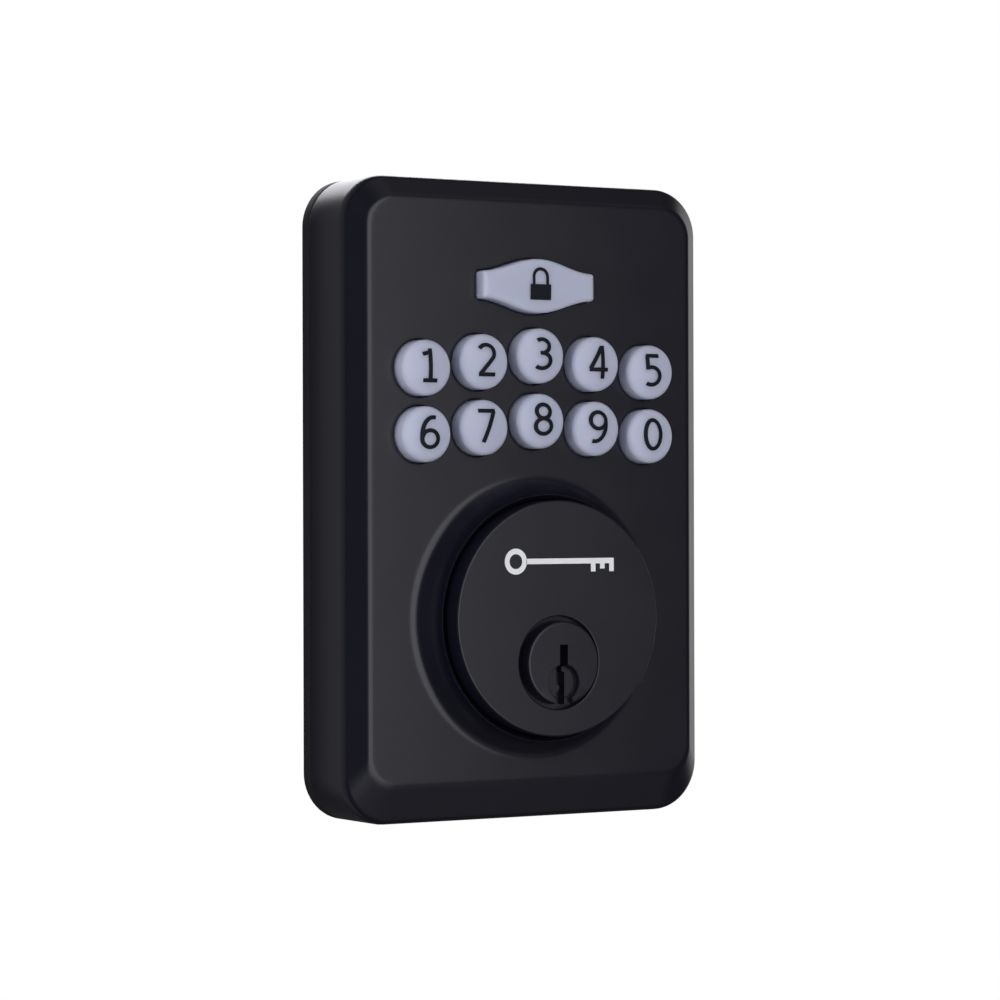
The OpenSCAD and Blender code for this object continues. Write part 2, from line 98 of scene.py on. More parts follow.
def makeCamera():
    data = bpy.data.cameras.new("camera")
    data.sensor_width = 36.0
    data.lens = studio["lens"]
    data.clip_start, data.clip_end = 0.01, 20.0
    camera = bpy.data.objects.new("camera", data)
    turn = (
        Matrix.Rotation(math.radians(-studio["cameraTurn"]), 4, "Z")
        @ Matrix.Rotation(math.radians(90 + studio["cameraTilt"]), 4, "X")
        @ Matrix.Rotation(math.radians(studio["cameraRoll"]), 4, "Z")
    )
    camera.matrix_world = Matrix.Translation(studio["cameraPlace"]) @ turn
    bpy.context.scene.collection.objects.link(camera)
    bpy.context.scene.camera = camera


def panel(name, place, way, width, height, glow, glossy=True):
    # A flat light facing along -way; one that isn't glossy only fills in matt surfaces
    data = bpy.data.lights.new(name, "AREA")
    data.shape = "RECTANGLE"
    data.size, data.size_y = width, height
    data.energy = glow * math.pi * width * height
    data.color = studio["lightColour"]
    lamp = bpy.data.objects.new(name, data)
    lamp.location = place
    lamp.rotation_euler = way.to_track_quat("Z", "Y").to_euler()
    lamp.visible_camera = False
    lamp.visible_glossy = glossy
    bpy.context.scene.collection.objects.link(lamp)


def softbox(name, turn, lift, away, width, height, glow, glossy=True):
    # turn is counted from straight in front of the door towards +X, lift upwards from level
    turn, lift = math.radians(turn), math.radians(lift)
    way = Vector((math.sin(turn) * math.cos(lift), -math.cos(turn) * math.cos(lift), math.sin(lift)))
    panel(name, Vector(studio["aim"]) + way * away, way, width, height, glow, glossy)


def makeWorld():
    world = bpy.data.worlds.new("studio")
    world.use_nodes = True
    bpy.context.scene.world = world
    nodes, links = world.node_tree.nodes, world.node_tree.links
    nodes.clear()
    out = nodes.new("ShaderNodeOutputWorld")
    mix = nodes.new("ShaderNodeMixShader")
    path = nodes.new("ShaderNodeLightPath")
    seen, lit = nodes.new("ShaderNodeBackground"), nodes.new("ShaderNodeBackground")
    seen.inputs["Color"].default_value = (*studio["backdrop"], 1)
    lit.inputs["Color"].default_value = (*studio["backdrop"], 1)
    lit.inputs["Strength"].default_value = studio["fill"]
    links.new(path.outputs["Is Camera Ray"], mix.inputs[0])
    links.new(lit.outputs[0], mix.inputs[1])
    links.new(seen.outputs[0], mix.inputs[2])
    links.new(mix.outputs[0], out.inputs["Surface"])


makeCamera()
softbox("frontBox", turn=-3, lift=2, away=0.45, width=0.47, height=0.66, glow=1.95)
softbox("rightBox", turn=112, lift=5, away=0.9, width=0.55, height=0.9, glow=0.85)
# a pale board behind the lock, starting a little to its left, shows in the faces turned that way
panel("leftBoard", Vector((-0.187, 0.002, 0.02)), Vector((0, 1, 0)), 0.30, 0.5, 0.20)
softbox("leftFill", turn=-80, lift=5, away=0.8, width=0.6, height=0.7, glow=2.6, glossy=False)
softbox("backBox", turn=165, lift=25, away=0.8, width=0.6, height=0.5, glow=3.0)
softbox("topBox", turn=35, lift=62, away=0.9, width=0.6, height=0.5, glow=0.26)
softbox("lowBox", turn=25, lift=-50, away=0.9, width=0.7, height=0.5, glow=0.16)
makeWorld()
bpy.context.scene.view_settings.view_transform = "Standard"
print("studio ready")


# Materials

class Value:
    # A socket in a material's tree. Sums written on it add Math nodes.
    def __init__(self, maker, socket):
        self.maker, self.socket = maker, socket

    def maths(self, operation, first, second):
        return self.maker.add("ShaderNodeMath", {"operation": operation}, {0: first, 1: second})

    def __radd__(self, other):
        return self.maths("ADD", other, self)

    def __mul__(self, other):
        return self.maths("MULTIPLY", self, other)


class Finish:
    # One material: its tree, its shader and the one way to add a node
    def __init__(self, name, colour, roughness, metallic=0.0, **constants):
        self.material = bpy.data.materials.new(name)
        self.material.use_nodes = True
        self.tree = self.material.node_tree
        self.shader = self.tree.nodes["Principled BSDF"]
        self.shader.inputs["Base Color"].default_value = (*colour, 1)
        self.shader.inputs["Roughness"].default_value = roughness
        self.shader.inputs["Metallic"].default_value = metallic
        for socket, value in constants.items():
            self.shader.inputs[socket.replace("_", " ")].default_value = value
        self.place = self.add("ShaderNodeTexCoord", {}, {}, "Object")

    def add(self, kind, settings, sockets, output=0):
        node = self.tree.nodes.new(kind)
        for key, value in settings.items():
            setattr(node, key, value)
        for key, value in sockets.items():
            if isinstance(value, Value):
                self.tree.links.new(value.socket, node.inputs[key])
            else:
                node.inputs[key].default_value = value
        return Value(self, node.outputs[output])

    def noise(self, size, detail=2.0, stretch=None):
        place = self.place
        if stretch:
            place = self.add("ShaderNodeVectorMath", {"operation": "MULTIPLY"}, {0: place, 1: stretch})
        return self.add(
            "ShaderNodeTexNoise", {}, {"Vector": place, "Scale": 1 / (size * perMm), "Detail": detail}
        )

    def blend(self, factor, one, other):
        return self.add(
            "ShaderNodeMix", {"data_type": "RGBA"},
            {"Factor": factor, 6: (*one, 1), 7: (*other, 1)}, 2,
        )

    def feed(self, socket, value):
        self.tree.links.new(value.socket, self.shader.inputs[socket])

    def bump(self, height, depth):
        # depth is the height of the relief in millimetres
        self.feed("Normal", self.add(
            "ShaderNodeBump", {}, {"Height": height, "Distance": depth * perMm, "Strength": 1.0}
        ))


def powderCoat(name, colour, roughness, grain, depth):
    # Matt baked coat: fine orange peel with slight patches of sheen
    coat = Finish(name, colour, roughness, 0.0, Specular_IOR_Level=0.5)
    patches = coat.noise(9.0)
    peel = coat.noise(grain, 3.0)
    coat.feed("Roughness", roughness - 0.04 + patches * 0.08)
    coat.feed("Base Color", coat.blend(peel, colour, [c * 1.25 for c in colour]))
    coat.bump(peel, depth)
    return coat.material


def moulded(name, colour, roughness, grain, depth, **constants):
    # Moulded plastic or rubber with a fine spark texture
    part = Finish(name, colour, roughness, 0.0, **constants)
    texture = part.noise(grain, 2.0)
    cloud = part.noise(grain * 25)
    part.feed("Roughness", roughness - 0.05 + texture * 0.1)
    part.feed("Base Color", part.blend(cloud, [c * 0.94 for c in colour], [min(1, c * 1.06) for c in colour]))
    part.bump(texture, depth)
    return part.material


def brushed(name, colour, roughness, along):
    # Metal with fine drawn or turned lines along one axis
    part = Finish(name, colour, roughness, 1.0)
    stretch = [0.04 if axis == along else 1.0 for axis in "xyz"]
    lines = part.noise(0.12, 2.0, stretch)
    dull = part.noise(2.5)
    part.feed("Roughness", roughness - 0.06 + dull * 0.12)
    part.feed("Base Color", part.blend(dull, [c * 0.88 for c in colour], colour))
    part.bump(lines, 0.004)
    return part.material


def keyPlastic():
    # Satin plastic that lets light through
    part = Finish(
        "keyPlastic", (0.50, 0.53, 0.66), 0.42, 0.0, Subsurface_Weight=1.0, Subsurface_Scale=0.003,
        Subsurface_Radius=(1.0, 1.0, 1.0), Specular_IOR_Level=0.4,
    )
    cloud = part.noise(2.2)
    fine = part.noise(0.25)
    part.feed("Base Color", part.blend(cloud, (0.55, 0.52, 0.66), (0.47, 0.54, 0.66)))
    part.feed("Roughness", 0.38 + fine * 0.08)
    part.bump(fine, 0.004)
    return part.material


def circuitBoard():
    # Green solder mask with copper tracks just showing under it
    part = Finish("circuitBoard", (0.02, 0.13, 0.06), 0.35)
    tracks = part.add(
        "ShaderNodeTexBrick", {"offset": 0.35},
        {"Vector": part.place, "Scale": 180.0, "Mortar Size": 0.012, "Color1": (0, 0, 0, 1),
         "Color2": (0.25, 0.25, 0.25, 1), "Mortar": (1, 1, 1, 1)},
    )
    shade = part.noise(1.2)
    part.feed("Base Color", part.blend(tracks, (0.014, 0.11, 0.05), (0.05, 0.22, 0.09)))
    part.feed("Roughness", 0.3 + shade * 0.12)
    part.bump(tracks, 0.02)
    return part.material


finishes = {
    "shell_black": powderCoat("shellCoat", (0.0044, 0.0044, 0.0094), 0.305, 0.22, 0.002),
    "collar_black": powderCoat("collarCoat", (0.0046, 0.0046, 0.0098), 0.345, 0.20, 0.002),
    "plug_black": powderCoat("plugCoat", (0.0046, 0.0046, 0.0095), 0.34, 0.16, 0.003),
    "cover_plastic": moulded("coverPlastic", (0.011, 0.011, 0.013), 0.6, 0.18, 0.02),
    "black_rubber": moulded("blackRubber", (0.012, 0.012, 0.013), 0.75, 0.3, 0.02),
    "key_plastic": keyPlastic(),
    "ink": moulded("keyInk", (0.004, 0.005, 0.010), 0.6, 0.12, 0.003, Specular_IOR_Level=0.2),
    "sign_white": moulded("whiteInk", (0.86, 0.86, 0.86), 0.5, 0.12, 0.003),
    "silicone": moulded("silicone", (0.60, 0.61, 0.64), 0.55, 0.5, 0.01, Subsurface_Weight=0.2,
                        Subsurface_Scale=0.001),
    "board": circuitBoard(),
    "led": moulded("ledLens", (0.80, 0.78, 0.55), 0.2, 0.2, 0.002),
    "chip": moulded("chipEpoxy", (0.018, 0.018, 0.020), 0.55, 0.12, 0.01),
    "socket": moulded("nylon", (0.70, 0.68, 0.60), 0.45, 0.2, 0.008),
    "steel": brushed("zincSteel", (0.56, 0.57, 0.59), 0.32, "y"),
    "brass": brushed("brass", (0.62, 0.45, 0.20), 0.30, "z"),
}

# CAD nodes that show as they are take their finish here; a replaced one is hidden anyway
for row in frame["record"]["subparts"]:
    node = frame["nodes"][row["node"]]
    for slot in node.material_slots:
        slot.material = finishes[row["material_slot"]]
print("finishes ready:", len(finishes))


# Mesh tools

def addRing(bm, points):
    return [bm.verts.new(p) for p in points]


def joinRings(bm, one, other):
    count = len(one)
    for i in range(count):
        j = (i + 1) % count
        bm.faces.new((one[i], one[j], other[j], other[i]))


def stackRings(bm, rings):
    # rings are lists of points; the list of made rings is given back
    made = [addRing(bm, ring) for ring in rings]
    for one, other in zip(made, made[1:]):
        joinRings(bm, one, other)
    return made


def capRing(bm, ring, tip):
    # closes a ring with a fan to one point
    top = bm.verts.new(tip)
    for i, vert in enumerate(ring):
        bm.faces.new((vert, ring[(i + 1) % len(ring)], top))


def circlePoints(x, z, r, d, count):
    return [
        point(x + r * math.cos(2 * math.pi * i / count), z + r * math.sin(2 * math.pi * i / count), d)
        for i in range(count)
    ]


def roundBox(left, right, bottom, top, r, d, corner=14, side=3):
    # Outline with round corners, the same number of points whatever its size
    points = []
    middles = [(right - r, top - r), (left + r, top - r), (left + r, bottom + r), (right - r, bottom + r)]
    for k, (x, z) in enumerate(middles):
        for i in range(corner + 1):
            a = math.pi / 2 * (k + i / corner)
            points.append(point(x + r * math.cos(a), z + r * math.sin(a), d))
        a = math.pi / 2 * (k + 1)
        start = points[-1]
        nextX, nextZ = middles[(k + 1) % 4]
        end = point(nextX + r * math.cos(a), nextZ + r * math.sin(a), d)
        points += [start.lerp(end, (i + 1) / (side + 1)) for i in range(side)]
    return points


def arc(middle, r, fromAngle, toAngle, steps):
    # points of a profile, as (across, out), with angles in degrees
    return [
        (middle[0] + r * math.cos(math.radians(a)), middle[1] + r * math.sin(math.radians(a)))
        for a in (fromAngle + (toAngle - fromAngle) * i / steps for i in range(steps + 1))
    ]


def turned(bm, x, z, profile, count=64):
    # A body of revolution about the outward line through (x, z), from (radius, out) pairs
    closedStart, closedEnd = profile[0][0] < 1e-6, profile[-1][0] < 1e-6
    rings = [circlePoints(x, z, r, d, count) for r, d in profile if r >= 1e-6]
    made = stackRings(bm, rings)
    if closedStart:
        capRing(bm, made[0], point(x, z, profile[0][1]))
    if closedEnd:
        capRing(bm, made[-1], point(x, z, profile[-1][1]))
    if not (closedStart or closedEnd):
        joinRings(bm, made[-1], made[0])
    return made


def fillFlat(bm, outer, holes):
    # Fills the flat space between one ring of vertices and the rings inside it
    rings = [outer, *holes]
    verts = [v for ring in rings for v in ring]
    flat = [Vector((v.co.x, v.co.z)) for v in verts]
    edges, start = [], 0
    for ring in rings:
        edges += [(start + i, start + (i + 1) % len(ring)) for i in range(len(ring))]
        start += len(ring)
    _, _, faces, origin, _, _ = delaunay_2d_cdt(flat, edges, [], 0, 1e-7)
    loops = [[Vector((v.co.x, v.co.z)) for v in ring] for ring in rings]
    for face in faces:
        corners = [origin[i][0] for i in face]
        middle = sum((flat[i] for i in corners), Vector((0, 0))) / len(corners)
        if inside(middle, loops[0]) and not any(inside(middle, loop) for loop in loops[1:]):
            bm.faces.new([verts[i] for i in corners])


def inside(spot, loop):
    crossed = False
    for a, b in zip(loop, loop[1:] + loop[:1]):
        if (a.y > spot.y) != (b.y > spot.y):
            if spot.x < (b.x - a.x) * (spot.y - a.y) / (b.y - a.y) + a.x:
                crossed = not crossed
    return crossed


def slabShape(bm, outline, near, far):
    # A closed slab from a flat outline of (x, z) pairs
    low = addRing(bm, [point(x, z, near) for x, z in outline])
    high = addRing(bm, [point(x, z, far) for x, z in outline])
    joinRings(bm, low, high)
    fillFlat(bm, low, [])
    fillFlat(bm, high, [])


def blockShape(bm, left, right, bottom, top, near, far):
    slabShape(bm, [(left, bottom), (right, bottom), (right, top), (left, top)], near, far)


def shape(bm, name="helper"):
    # An object from a drawn mesh, still in millimetres
    bmesh.ops.recalc_face_normals(bm, faces=bm.faces)
    mesh = bpy.data.meshes.new(name)
    bm.to_mesh(mesh)
    bm.free()
    piece = bpy.data.objects.new(name, mesh)
    bpy.context.scene.collection.objects.link(piece)
    return piece


def applyAll(piece):
    # Replaces the mesh by what its modifiers make of it
    graph = bpy.context.evaluated_depsgraph_get()
    graph.update()
    made = bpy.data.meshes.new_from_object(piece.evaluated_get(graph))
    piece.modifiers.clear()
    piece.data = made


def roundEdges(piece, width):
    edge = piece.modifiers.new("edge", "BEVEL")
    edge.width, edge.segments = width, 2
    edge.limit_method, edge.angle_limit = "ANGLE", math.radians(40)
    applyAll(piece)
    return piece


def dress(piece, body, slot, replaced=(), sharp=35.0):
    # Scales a drawn piece to metres, gives it its finish and lets it ride on its body
    mesh = piece.data
    mesh.transform(Matrix.Scale(perMm, 4))
    mesh.materials.clear()
    mesh.materials.append(finishes[slot])
    bm = bmesh.new()
    bm.from_mesh(mesh)
    for face in bm.faces:
        face.smooth = True
    for edge in bm.edges:
        edge.smooth = len(edge.link_faces) == 2 and edge.calc_face_angle(0) < math.radians(sharp)
    bm.to_mesh(mesh)
    bm.free()
    # large flat faces keep their own direction where they meet small rounds
    flat = piece.modifiers.new("flat", "WEIGHTED_NORMAL")
    flat.keep_sharp = True
    applyAll(piece)
    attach(piece, body)
    if replaced:
        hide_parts(*replaced)
    return piece


def newPiece(name, bm, body, slot, replaced=(), sharp=35.0):
    return dress(shape(bm, name), body, slot, replaced, sharp)


def carve(piece, cutters, operation="DIFFERENCE"):
    # Cuts other closed shapes out of a piece, or joins them to it
    for cutter in cutters:
        step = piece.modifiers.new("carve", "BOOLEAN")
        step.operation, step.solver, step.object = operation, "EXACT", cutter
        applyAll(piece)
        bpy.data.objects.remove(cutter)
    return piece


# Escutcheon

shell = {
    "faceOut": 15.8,        # front face, measured out from the door
    "innerOut": 13.6,       # inside of the front wall
    "cornerRadius": 7.5,
    "faceCornerRadius": 4.75,
    "sideChamfer": 3.1,
    "topChamfer": 3.35,
    "bottomChamfer": 6.1,
    "chamferDepth": 2.7,
    "wall": 2.2,
    "sill": 4.4,
    "shoulderRound": 1.3,   # length that the round takes from the side, before the chamfer
    "shoulderShare": 0.16,  # share of the chamfer that the same round takes
    "chamferRun": 4.0,      # width of the chamfer that the face's round is reckoned on
    "faceRound": 0.55,
    "rim": 0.3,             # round on the rear edge
    "rimChamfer": 0.2,
    "holeRound": 0.22,
    "ringSlope": 21.65,     # radius where the ring's 45 degree slope would meet the face
    "ringFillet": 0.85,
    "ringFoot": 0.4,        # flat width left round the fillet
    "ringLip": 0.8,
    "ringTip": 0.05,
}
keyNames = ["1", "2", "3", "4", "5", "6", "7", "8", "9", "0"]
numberKeys = {name: nodeMiddle("key_" + name) for name in keyNames}
lockKeyX, lockKeyZ = nodeMiddle("lock_key")
lowShell, highShell = nodeBox("escutcheon")


def bezier(a, b, c, steps):
    return [
        tuple((1 - t) ** 2 * a[k] + 2 * t * (1 - t) * b[k] + t * t * c[k] for k in (0, 1))
        for t in (i / steps for i in range(steps + 1))
    ]


def bodyOutline(d, inset=0.0, bottomInset=None):
    r = shell["cornerRadius"] - inset
    bottom = inset if bottomInset is None else bottomInset
    return roundBox(
        lowShell.x + inset, highShell.x - inset, lowShell.z + bottom, highShell.z - inset, r, d
    )


def faceOutline(d, inset=0.0):
    side = shell["sideChamfer"] + inset
    return roundBox(
        lowShell.x + side, highShell.x - side,
        lowShell.z + shell["bottomChamfer"] + inset, highShell.z - shell["topChamfer"] - inset,
        shell["faceCornerRadius"] - inset, d,
    )


def chamferRing(share, d):
    # share is 0 on the body's outline and 1 on the face's
    return [a.lerp(b, share) for a, b in zip(bodyOutline(d), faceOutline(d))]


lockKey = {
    "length": 20.4,
    "middle": 8.5,
    "ends": 4.3,
    "proud": 2.4,
    "edgeRound": 0.75,
    "endCorner": 0.55,
    "gap": 0.15,
    "crown": 0.18,
}


def lockHalf(x):
    swell = (1 + math.cos(2 * math.pi * x / lockKey["length"])) / 2
    return (lockKey["ends"] + (lockKey["middle"] - lockKey["ends"]) * swell) / 2


def lockOutline(d, grow=0.0, steps=28):
    # Lozenge with small round corners; grow moves its edge outwards
    reach = lockKey["length"] / 2 + grow
    corner = max(0.1, lockKey["endCorner"] + grow)
    upper = []
    for i in range(steps + 1):
        x = (lockKey["length"] / 2 - lockKey["endCorner"]) * (1 - 2 * i / steps)
        slope = (lockHalf(x + 0.01) - lockHalf(x - 0.01)) / 0.02
        lean = math.hypot(1, slope)
        upper.append((x - grow * slope / lean, lockHalf(x) + grow / lean))
    inX, top = upper[0]
    turns = [math.pi / 2 * i / 6 for i in range(6)]
    ends = [(inX + (reach - inX) * math.cos(a), top - corner * (1 - math.sin(a))) for a in turns]
    half = ends + upper + [(-x, z) for x, z in reversed(ends)]
    return [point(lockKeyX + x, lockKeyZ + z, d) for x, z in half + [(-x, -z) for x, z in half]]


def mouthProfile(far, near, edge):
    # A hole from the face inwards with a small round at its mouth, as (growth, out)
    return [(edge * 2, far)] + arc((edge, far - edge), edge, 90, 180, 4) + [(0, near)]


def ringProfile():
    # Ring round the collar: a hollow curve from the face up to a thin lip, bevelled towards the bore
    s, face, tip = shell, shell["faceOut"], nodeFront("escutcheon")
    bore = collar["radius"] + collar["gap"]
    lip, slope = bore + s["ringLip"], s["ringSlope"]
    foot = slope - s["ringFillet"] * math.sqrt(0.5)
    profile = [(slope + s["ringFillet"] + s["ringFoot"], face)]
    profile += bezier((slope + s["ringFillet"], face), (slope, face), (foot, face + slope - foot), 12)
    profile += bezier((foot, face + slope - foot), (lip, face + slope - lip),
                      (lip, tip - s["ringTip"]), 18)[1:]
    return profile + [(lip - 0.03, tip), (lip - 0.07, tip), (bore, tip - s["ringLip"]), (bore, s["innerOut"])]


def makeEscutcheon():
    bm = bmesh.new()
    s = shell
    back, face, inner = nodeBack("escutcheon"), s["faceOut"], s["innerOut"]
    shoulder = face - s["chamferDepth"]
    rim, cut = s["rim"], s["rimChamfer"]
    rings = [bodyOutline(d, s["wall"] - g, s["sill"] - g)
             for d, g in ((inner, 0), (back + cut, 0), (back, cut))]
    rings += [bodyOutline(back + d, g) for g, d in arc((rim, rim), -rim, 90, 0, 4)]
    rings += [bodyOutline(back + (shoulder - back) * t) for t in (0.3, 0.6)]
    share = s["shoulderShare"]
    rings += [chamferRing(*p) for p in bezier(
        (0, shoulder - s["shoulderRound"]), (0, shoulder), (share, shoulder + share * s["chamferDepth"]), 9)]
    run, top = s["chamferRun"], s["faceRound"]
    last = 1 - top / run
    # a ring just inside each end of the chamfer keeps it flat
    rings += [chamferRing(a, shoulder + a * s["chamferDepth"]) for a in (share + 0.03, last - 0.03)]
    for a, d in bezier((last, shoulder + last * s["chamferDepth"]), (1, face), (1 + top / run, face), 6):
        rings.append(chamferRing(a, d) if a <= 1 else faceOutline(d, (a - 1) * run))
    rings.append(faceOutline(face, top + s["ringFoot"]))
    made = stackRings(bm, rings)
    # front face and everything that passes through it
    mouth = mouthProfile(face, inner, s["holeRound"])
    r = numberKey["radius"] + numberKey["gap"]
    holes = [[circlePoints(x, z, r + g, d, 48) for g, d in mouth] for x, z in numberKeys.values()]
    holes.append([lockOutline(d, lockKey["gap"] + g) for g, d in mouth])
    holes.append([circlePoints(0, 0, r, d, 160) for r, d in ringProfile()])
    loops = [stackRings(bm, rings) for rings in holes]
    fillFlat(bm, made[-1], [loop[0] for loop in loops])
    backLoops = [loop[-1] for loop in loops]
    # posts inside, each with its pilot hole
    for places, (r, end, hole, depth) in postShapes:
        for x, z in places:
            post = turned(bm, x, z, [(r, inner), (r, end + cut), (r - cut, end), (hole, end),
                                     (hole, end + depth), (0, end + depth + hole / 2)], 32)
            backLoops.append(post[0])
    fillFlat(bm, made[0], backLoops)
    newPiece("escutcheon_shell", bm, "lock_body", "shell_black", ["escutcheon"], sharp=40)
    print("escutcheon made")


numberKey = {
    "radius": 4.3,
    "gap": 0.15,
    "side": 1.75,       # straight side above the face
    "edgeRound": 1.0,
    "dome": 0.45,       # rise of the top inside the rounded edge
    "flange": 4.9,
    "flangeOut": 13.45,
    "flangeThick": 0.8,
    "stem": 2.2,
}
collar = {
    "radius": 18.3,
    "gap": 0.15,
    "edge": 0.3,
}
coverScrewPlaces = [(-24.5, -23.5), (24.5, -23.5), (-20, 61), (20, 61)]
boardScrewPlaces = [(x, z) for x in (-28, 28) for z in (24.6, 60)]
earPlaces = [(-24.8, 0), (24.8, 0)]
# radius, where it ends, its pilot hole's radius and depth
postShapes = (
    (coverScrewPlaces, (2.6, 2.4, 1.4, 6.6)),
    (boardScrewPlaces, (2.0, 8.2, 0.9, 3.8)),
    (earPlaces, (3.4, 9.9, 1.4, 4.1)),
)
makeEscutcheon()


# Keys

keyTop = nodeFront("key_1")
flatR = numberKey["radius"] - numberKey["edgeRound"]      # where the edge's round meets the dome


def domeOut(across):
    return keyTop - numberKey["dome"] * (across / flatR) ** 2


def makeNumberKeys():
    k = numberKey
    r, end = k["radius"], nodeBack("key_1")
    flangeBack = k["flangeOut"] - k["flangeThick"]
    sideOut = shell["faceOut"] + k["side"]
    lean = 2 * k["dome"] / flatR
    profile = [(0, end), (k["stem"], end), (k["stem"], flangeBack), (k["flange"], flangeBack),
               (k["flange"], k["flangeOut"]), (r, k["flangeOut"]), (r, shell["faceOut"])]
    profile += bezier((r, sideOut), (r, domeOut(flatR) - lean * k["edgeRound"]), (flatR, domeOut(flatR)), 9)
    profile += [(flatR * (1 - i / 7), domeOut(flatR * (1 - i / 7))) for i in range(1, 8)]
    for name, (x, z) in numberKeys.items():
        bm = bmesh.new()
        turned(bm, x, z, profile, 72)
        newPiece("number_key_" + name, bm, f"key_{name}_cap", "key_plastic", ["key_" + name], sharp=50)
    print("number keys made:", len(numberKeys))


def lockTopOut(x, z):
    # the lock key's crowned top, from its own middle
    across = (x / (lockKey["length"] / 2)) ** 2 + (z / (lockKey["middle"] / 2)) ** 2
    return shell["faceOut"] + lockKey["proud"] - lockKey["crown"] * min(1.0, across)


def makeLockKey():
    k = lockKey
    face, e = shell["faceOut"], k["edgeRound"]
    low = numberKey["flangeOut"] - numberKey["flangeThick"]
    top = face + k["proud"] - k["crown"]
    bm = bmesh.new()
    rings = [lockOutline(low), lockOutline(face)]
    rings += [lockOutline(d, -g) for g, d in bezier((0, top - e), (0, top - 0.1), (e, top), 8)]
    steps = 7
    edge = rings[-1]
    for i in range(1, steps):
        share = 1 - i / steps
        ring = []
        for p in edge:
            x, z = (p.x - lockKeyX) * share, (p.z - lockKeyZ) * share
            lift = (top - lockTopOut(p.x - lockKeyX, p.z - lockKeyZ)) * share ** 2
            ring.append(point(lockKeyX + x, lockKeyZ + z, lockTopOut(x, z) + lift))
        rings.append(ring)
    made = stackRings(bm, rings)
    capRing(bm, made[-1], point(lockKeyX, lockKeyZ, face + k["proud"]))
    fillFlat(bm, made[0], [])
    lowBox, highBox = nodeBox("lock_key")
    flange = [(p.x, p.z) for p in roundBox(lowBox.x, highBox.x, lowBox.z, highBox.z, 1.5, 0)]
    slabShape(bm, flange, low, numberKey["flangeOut"])
    turned(bm, lockKeyX, lockKeyZ, [(0, nodeBack("lock_key")), (numberKey["stem"], nodeBack("lock_key")),
                                    (numberKey["stem"], low + 0.1), (0, low + 0.1)], 32)
    newPiece("lock_key_cap", bm, "lock_key_cap", "key_plastic", ["lock_key"], sharp=50)
    print("lock key made")


makeNumberKeys()
makeLockKey()


# Printed signs

sign = {
    "digitHeight": 5.2,
    "digitWiden": 1.15,
    "stroke": 0.12,         # as a share of the height
    "digitLift": 0.3,       # digits sit a little above the key's middle
    "inkThick": 0.03,
    "inkSink": 0.045,       # how far the ink reaches into the key, so that no gap shows
    "cell": 0.22,           # size of the cells that let the ink follow a dome
}


def draped(bm, heightAt):
    # Cuts flat faces into small cells, lays them on a curved top and gives them thickness
    thick = sign["inkThick"]
    xs, zs = [v.co.x for v in bm.verts], [v.co.z for v in bm.verts]
    for axis, low, high in ((0, min(xs), max(xs)), (2, min(zs), max(zs))):
        count = int((high - low) / sign["cell"])
        for i in range(1, count + 1):
            middle, normal = Vector((0, 0, 0)), Vector((0, 0, 0))
            middle[axis] = low + (high - low) * i / (count + 1)
            normal[axis] = 1
            bmesh.ops.bisect_plane(bm, geom=bm.verts[:] + bm.edges[:] + bm.faces[:], plane_co=middle,
                                   plane_no=normal, dist=1e-5)
    for v in bm.verts:
        v.co.y = -heightAt(v.co.x, v.co.z) - thick
    top = bm.faces[:]
    made = bmesh.ops.extrude_face_region(bm, geom=top, use_keep_orig=True)["geom"]
    for v in made:
        if isinstance(v, bmesh.types.BMVert):
            v.co.y += thick + sign["inkSink"]
    bmesh.ops.remove_doubles(bm, verts=bm.verts, dist=1e-5)


def bow(x, z, wide, tall, fromAngle, toAngle, steps=20):
    # An arc of an ellipse, as a line of points
    return [(x + wide * a, z + tall * b) for a, b in arc((0, 0), 1, fromAngle, toAngle, steps)]


def digitLines():
    # Middle lines of the strokes of each digit, in a box one unit tall
    top, foot = 1 - sign["stroke"] / 2, sign["stroke"] / 2
    six = [bow(0.015, 0.305, 0.235, 0.25, 0, 360, 36), bow(0.13, 0.40, 0.35, top - 0.40, 78, 188)]
    return {
        "0": [bow(0, 0.5, 0.24, top - 0.5, 0, 360, 40)],
        "1": [[(0.03, 0), (0.03, 1)], [(-0.19, 0.835), (0.0, 0.885)], [(-0.18, foot), (0.24, foot)]],
        "2": [bow(-0.015, 0.69, 0.235, top - 0.69, 148, -28) + [(-0.19, foot + 0.02)],
              [(-0.235, foot), (0.26, foot)]],
        "3": [bow(-0.03, 0.735, 0.215, top - 0.735, 128, -90) + [(-0.10, 0.525)],
              bow(-0.04, 0.295, 0.26, 0.23, 90, -132)],
        "4": [[(0.125, 0), (0.125, 1)], [(0.10, 0.96), (-0.255, 0.30)], [(-0.285, 0.275), (0.29, 0.275)]],
        "5": [[(0.20, top), (-0.20, top)], [(-0.165, top), (-0.165, 0.52)],
              bow(-0.05, 0.325, 0.265, 0.27, 118, -124)],
        "6": six,
        "7": [[(-0.25, top), (0.255, top)], [(0.22, top), (-0.10, 0)]],
        "8": [bow(0, 0.735, 0.205, top - 0.735, 0, 360, 36), bow(0, 0.29, 0.24, 0.29 - foot, 0, 360, 36)],
        "9": [[(-x, 1 - z) for x, z in line] for line in six],
    }


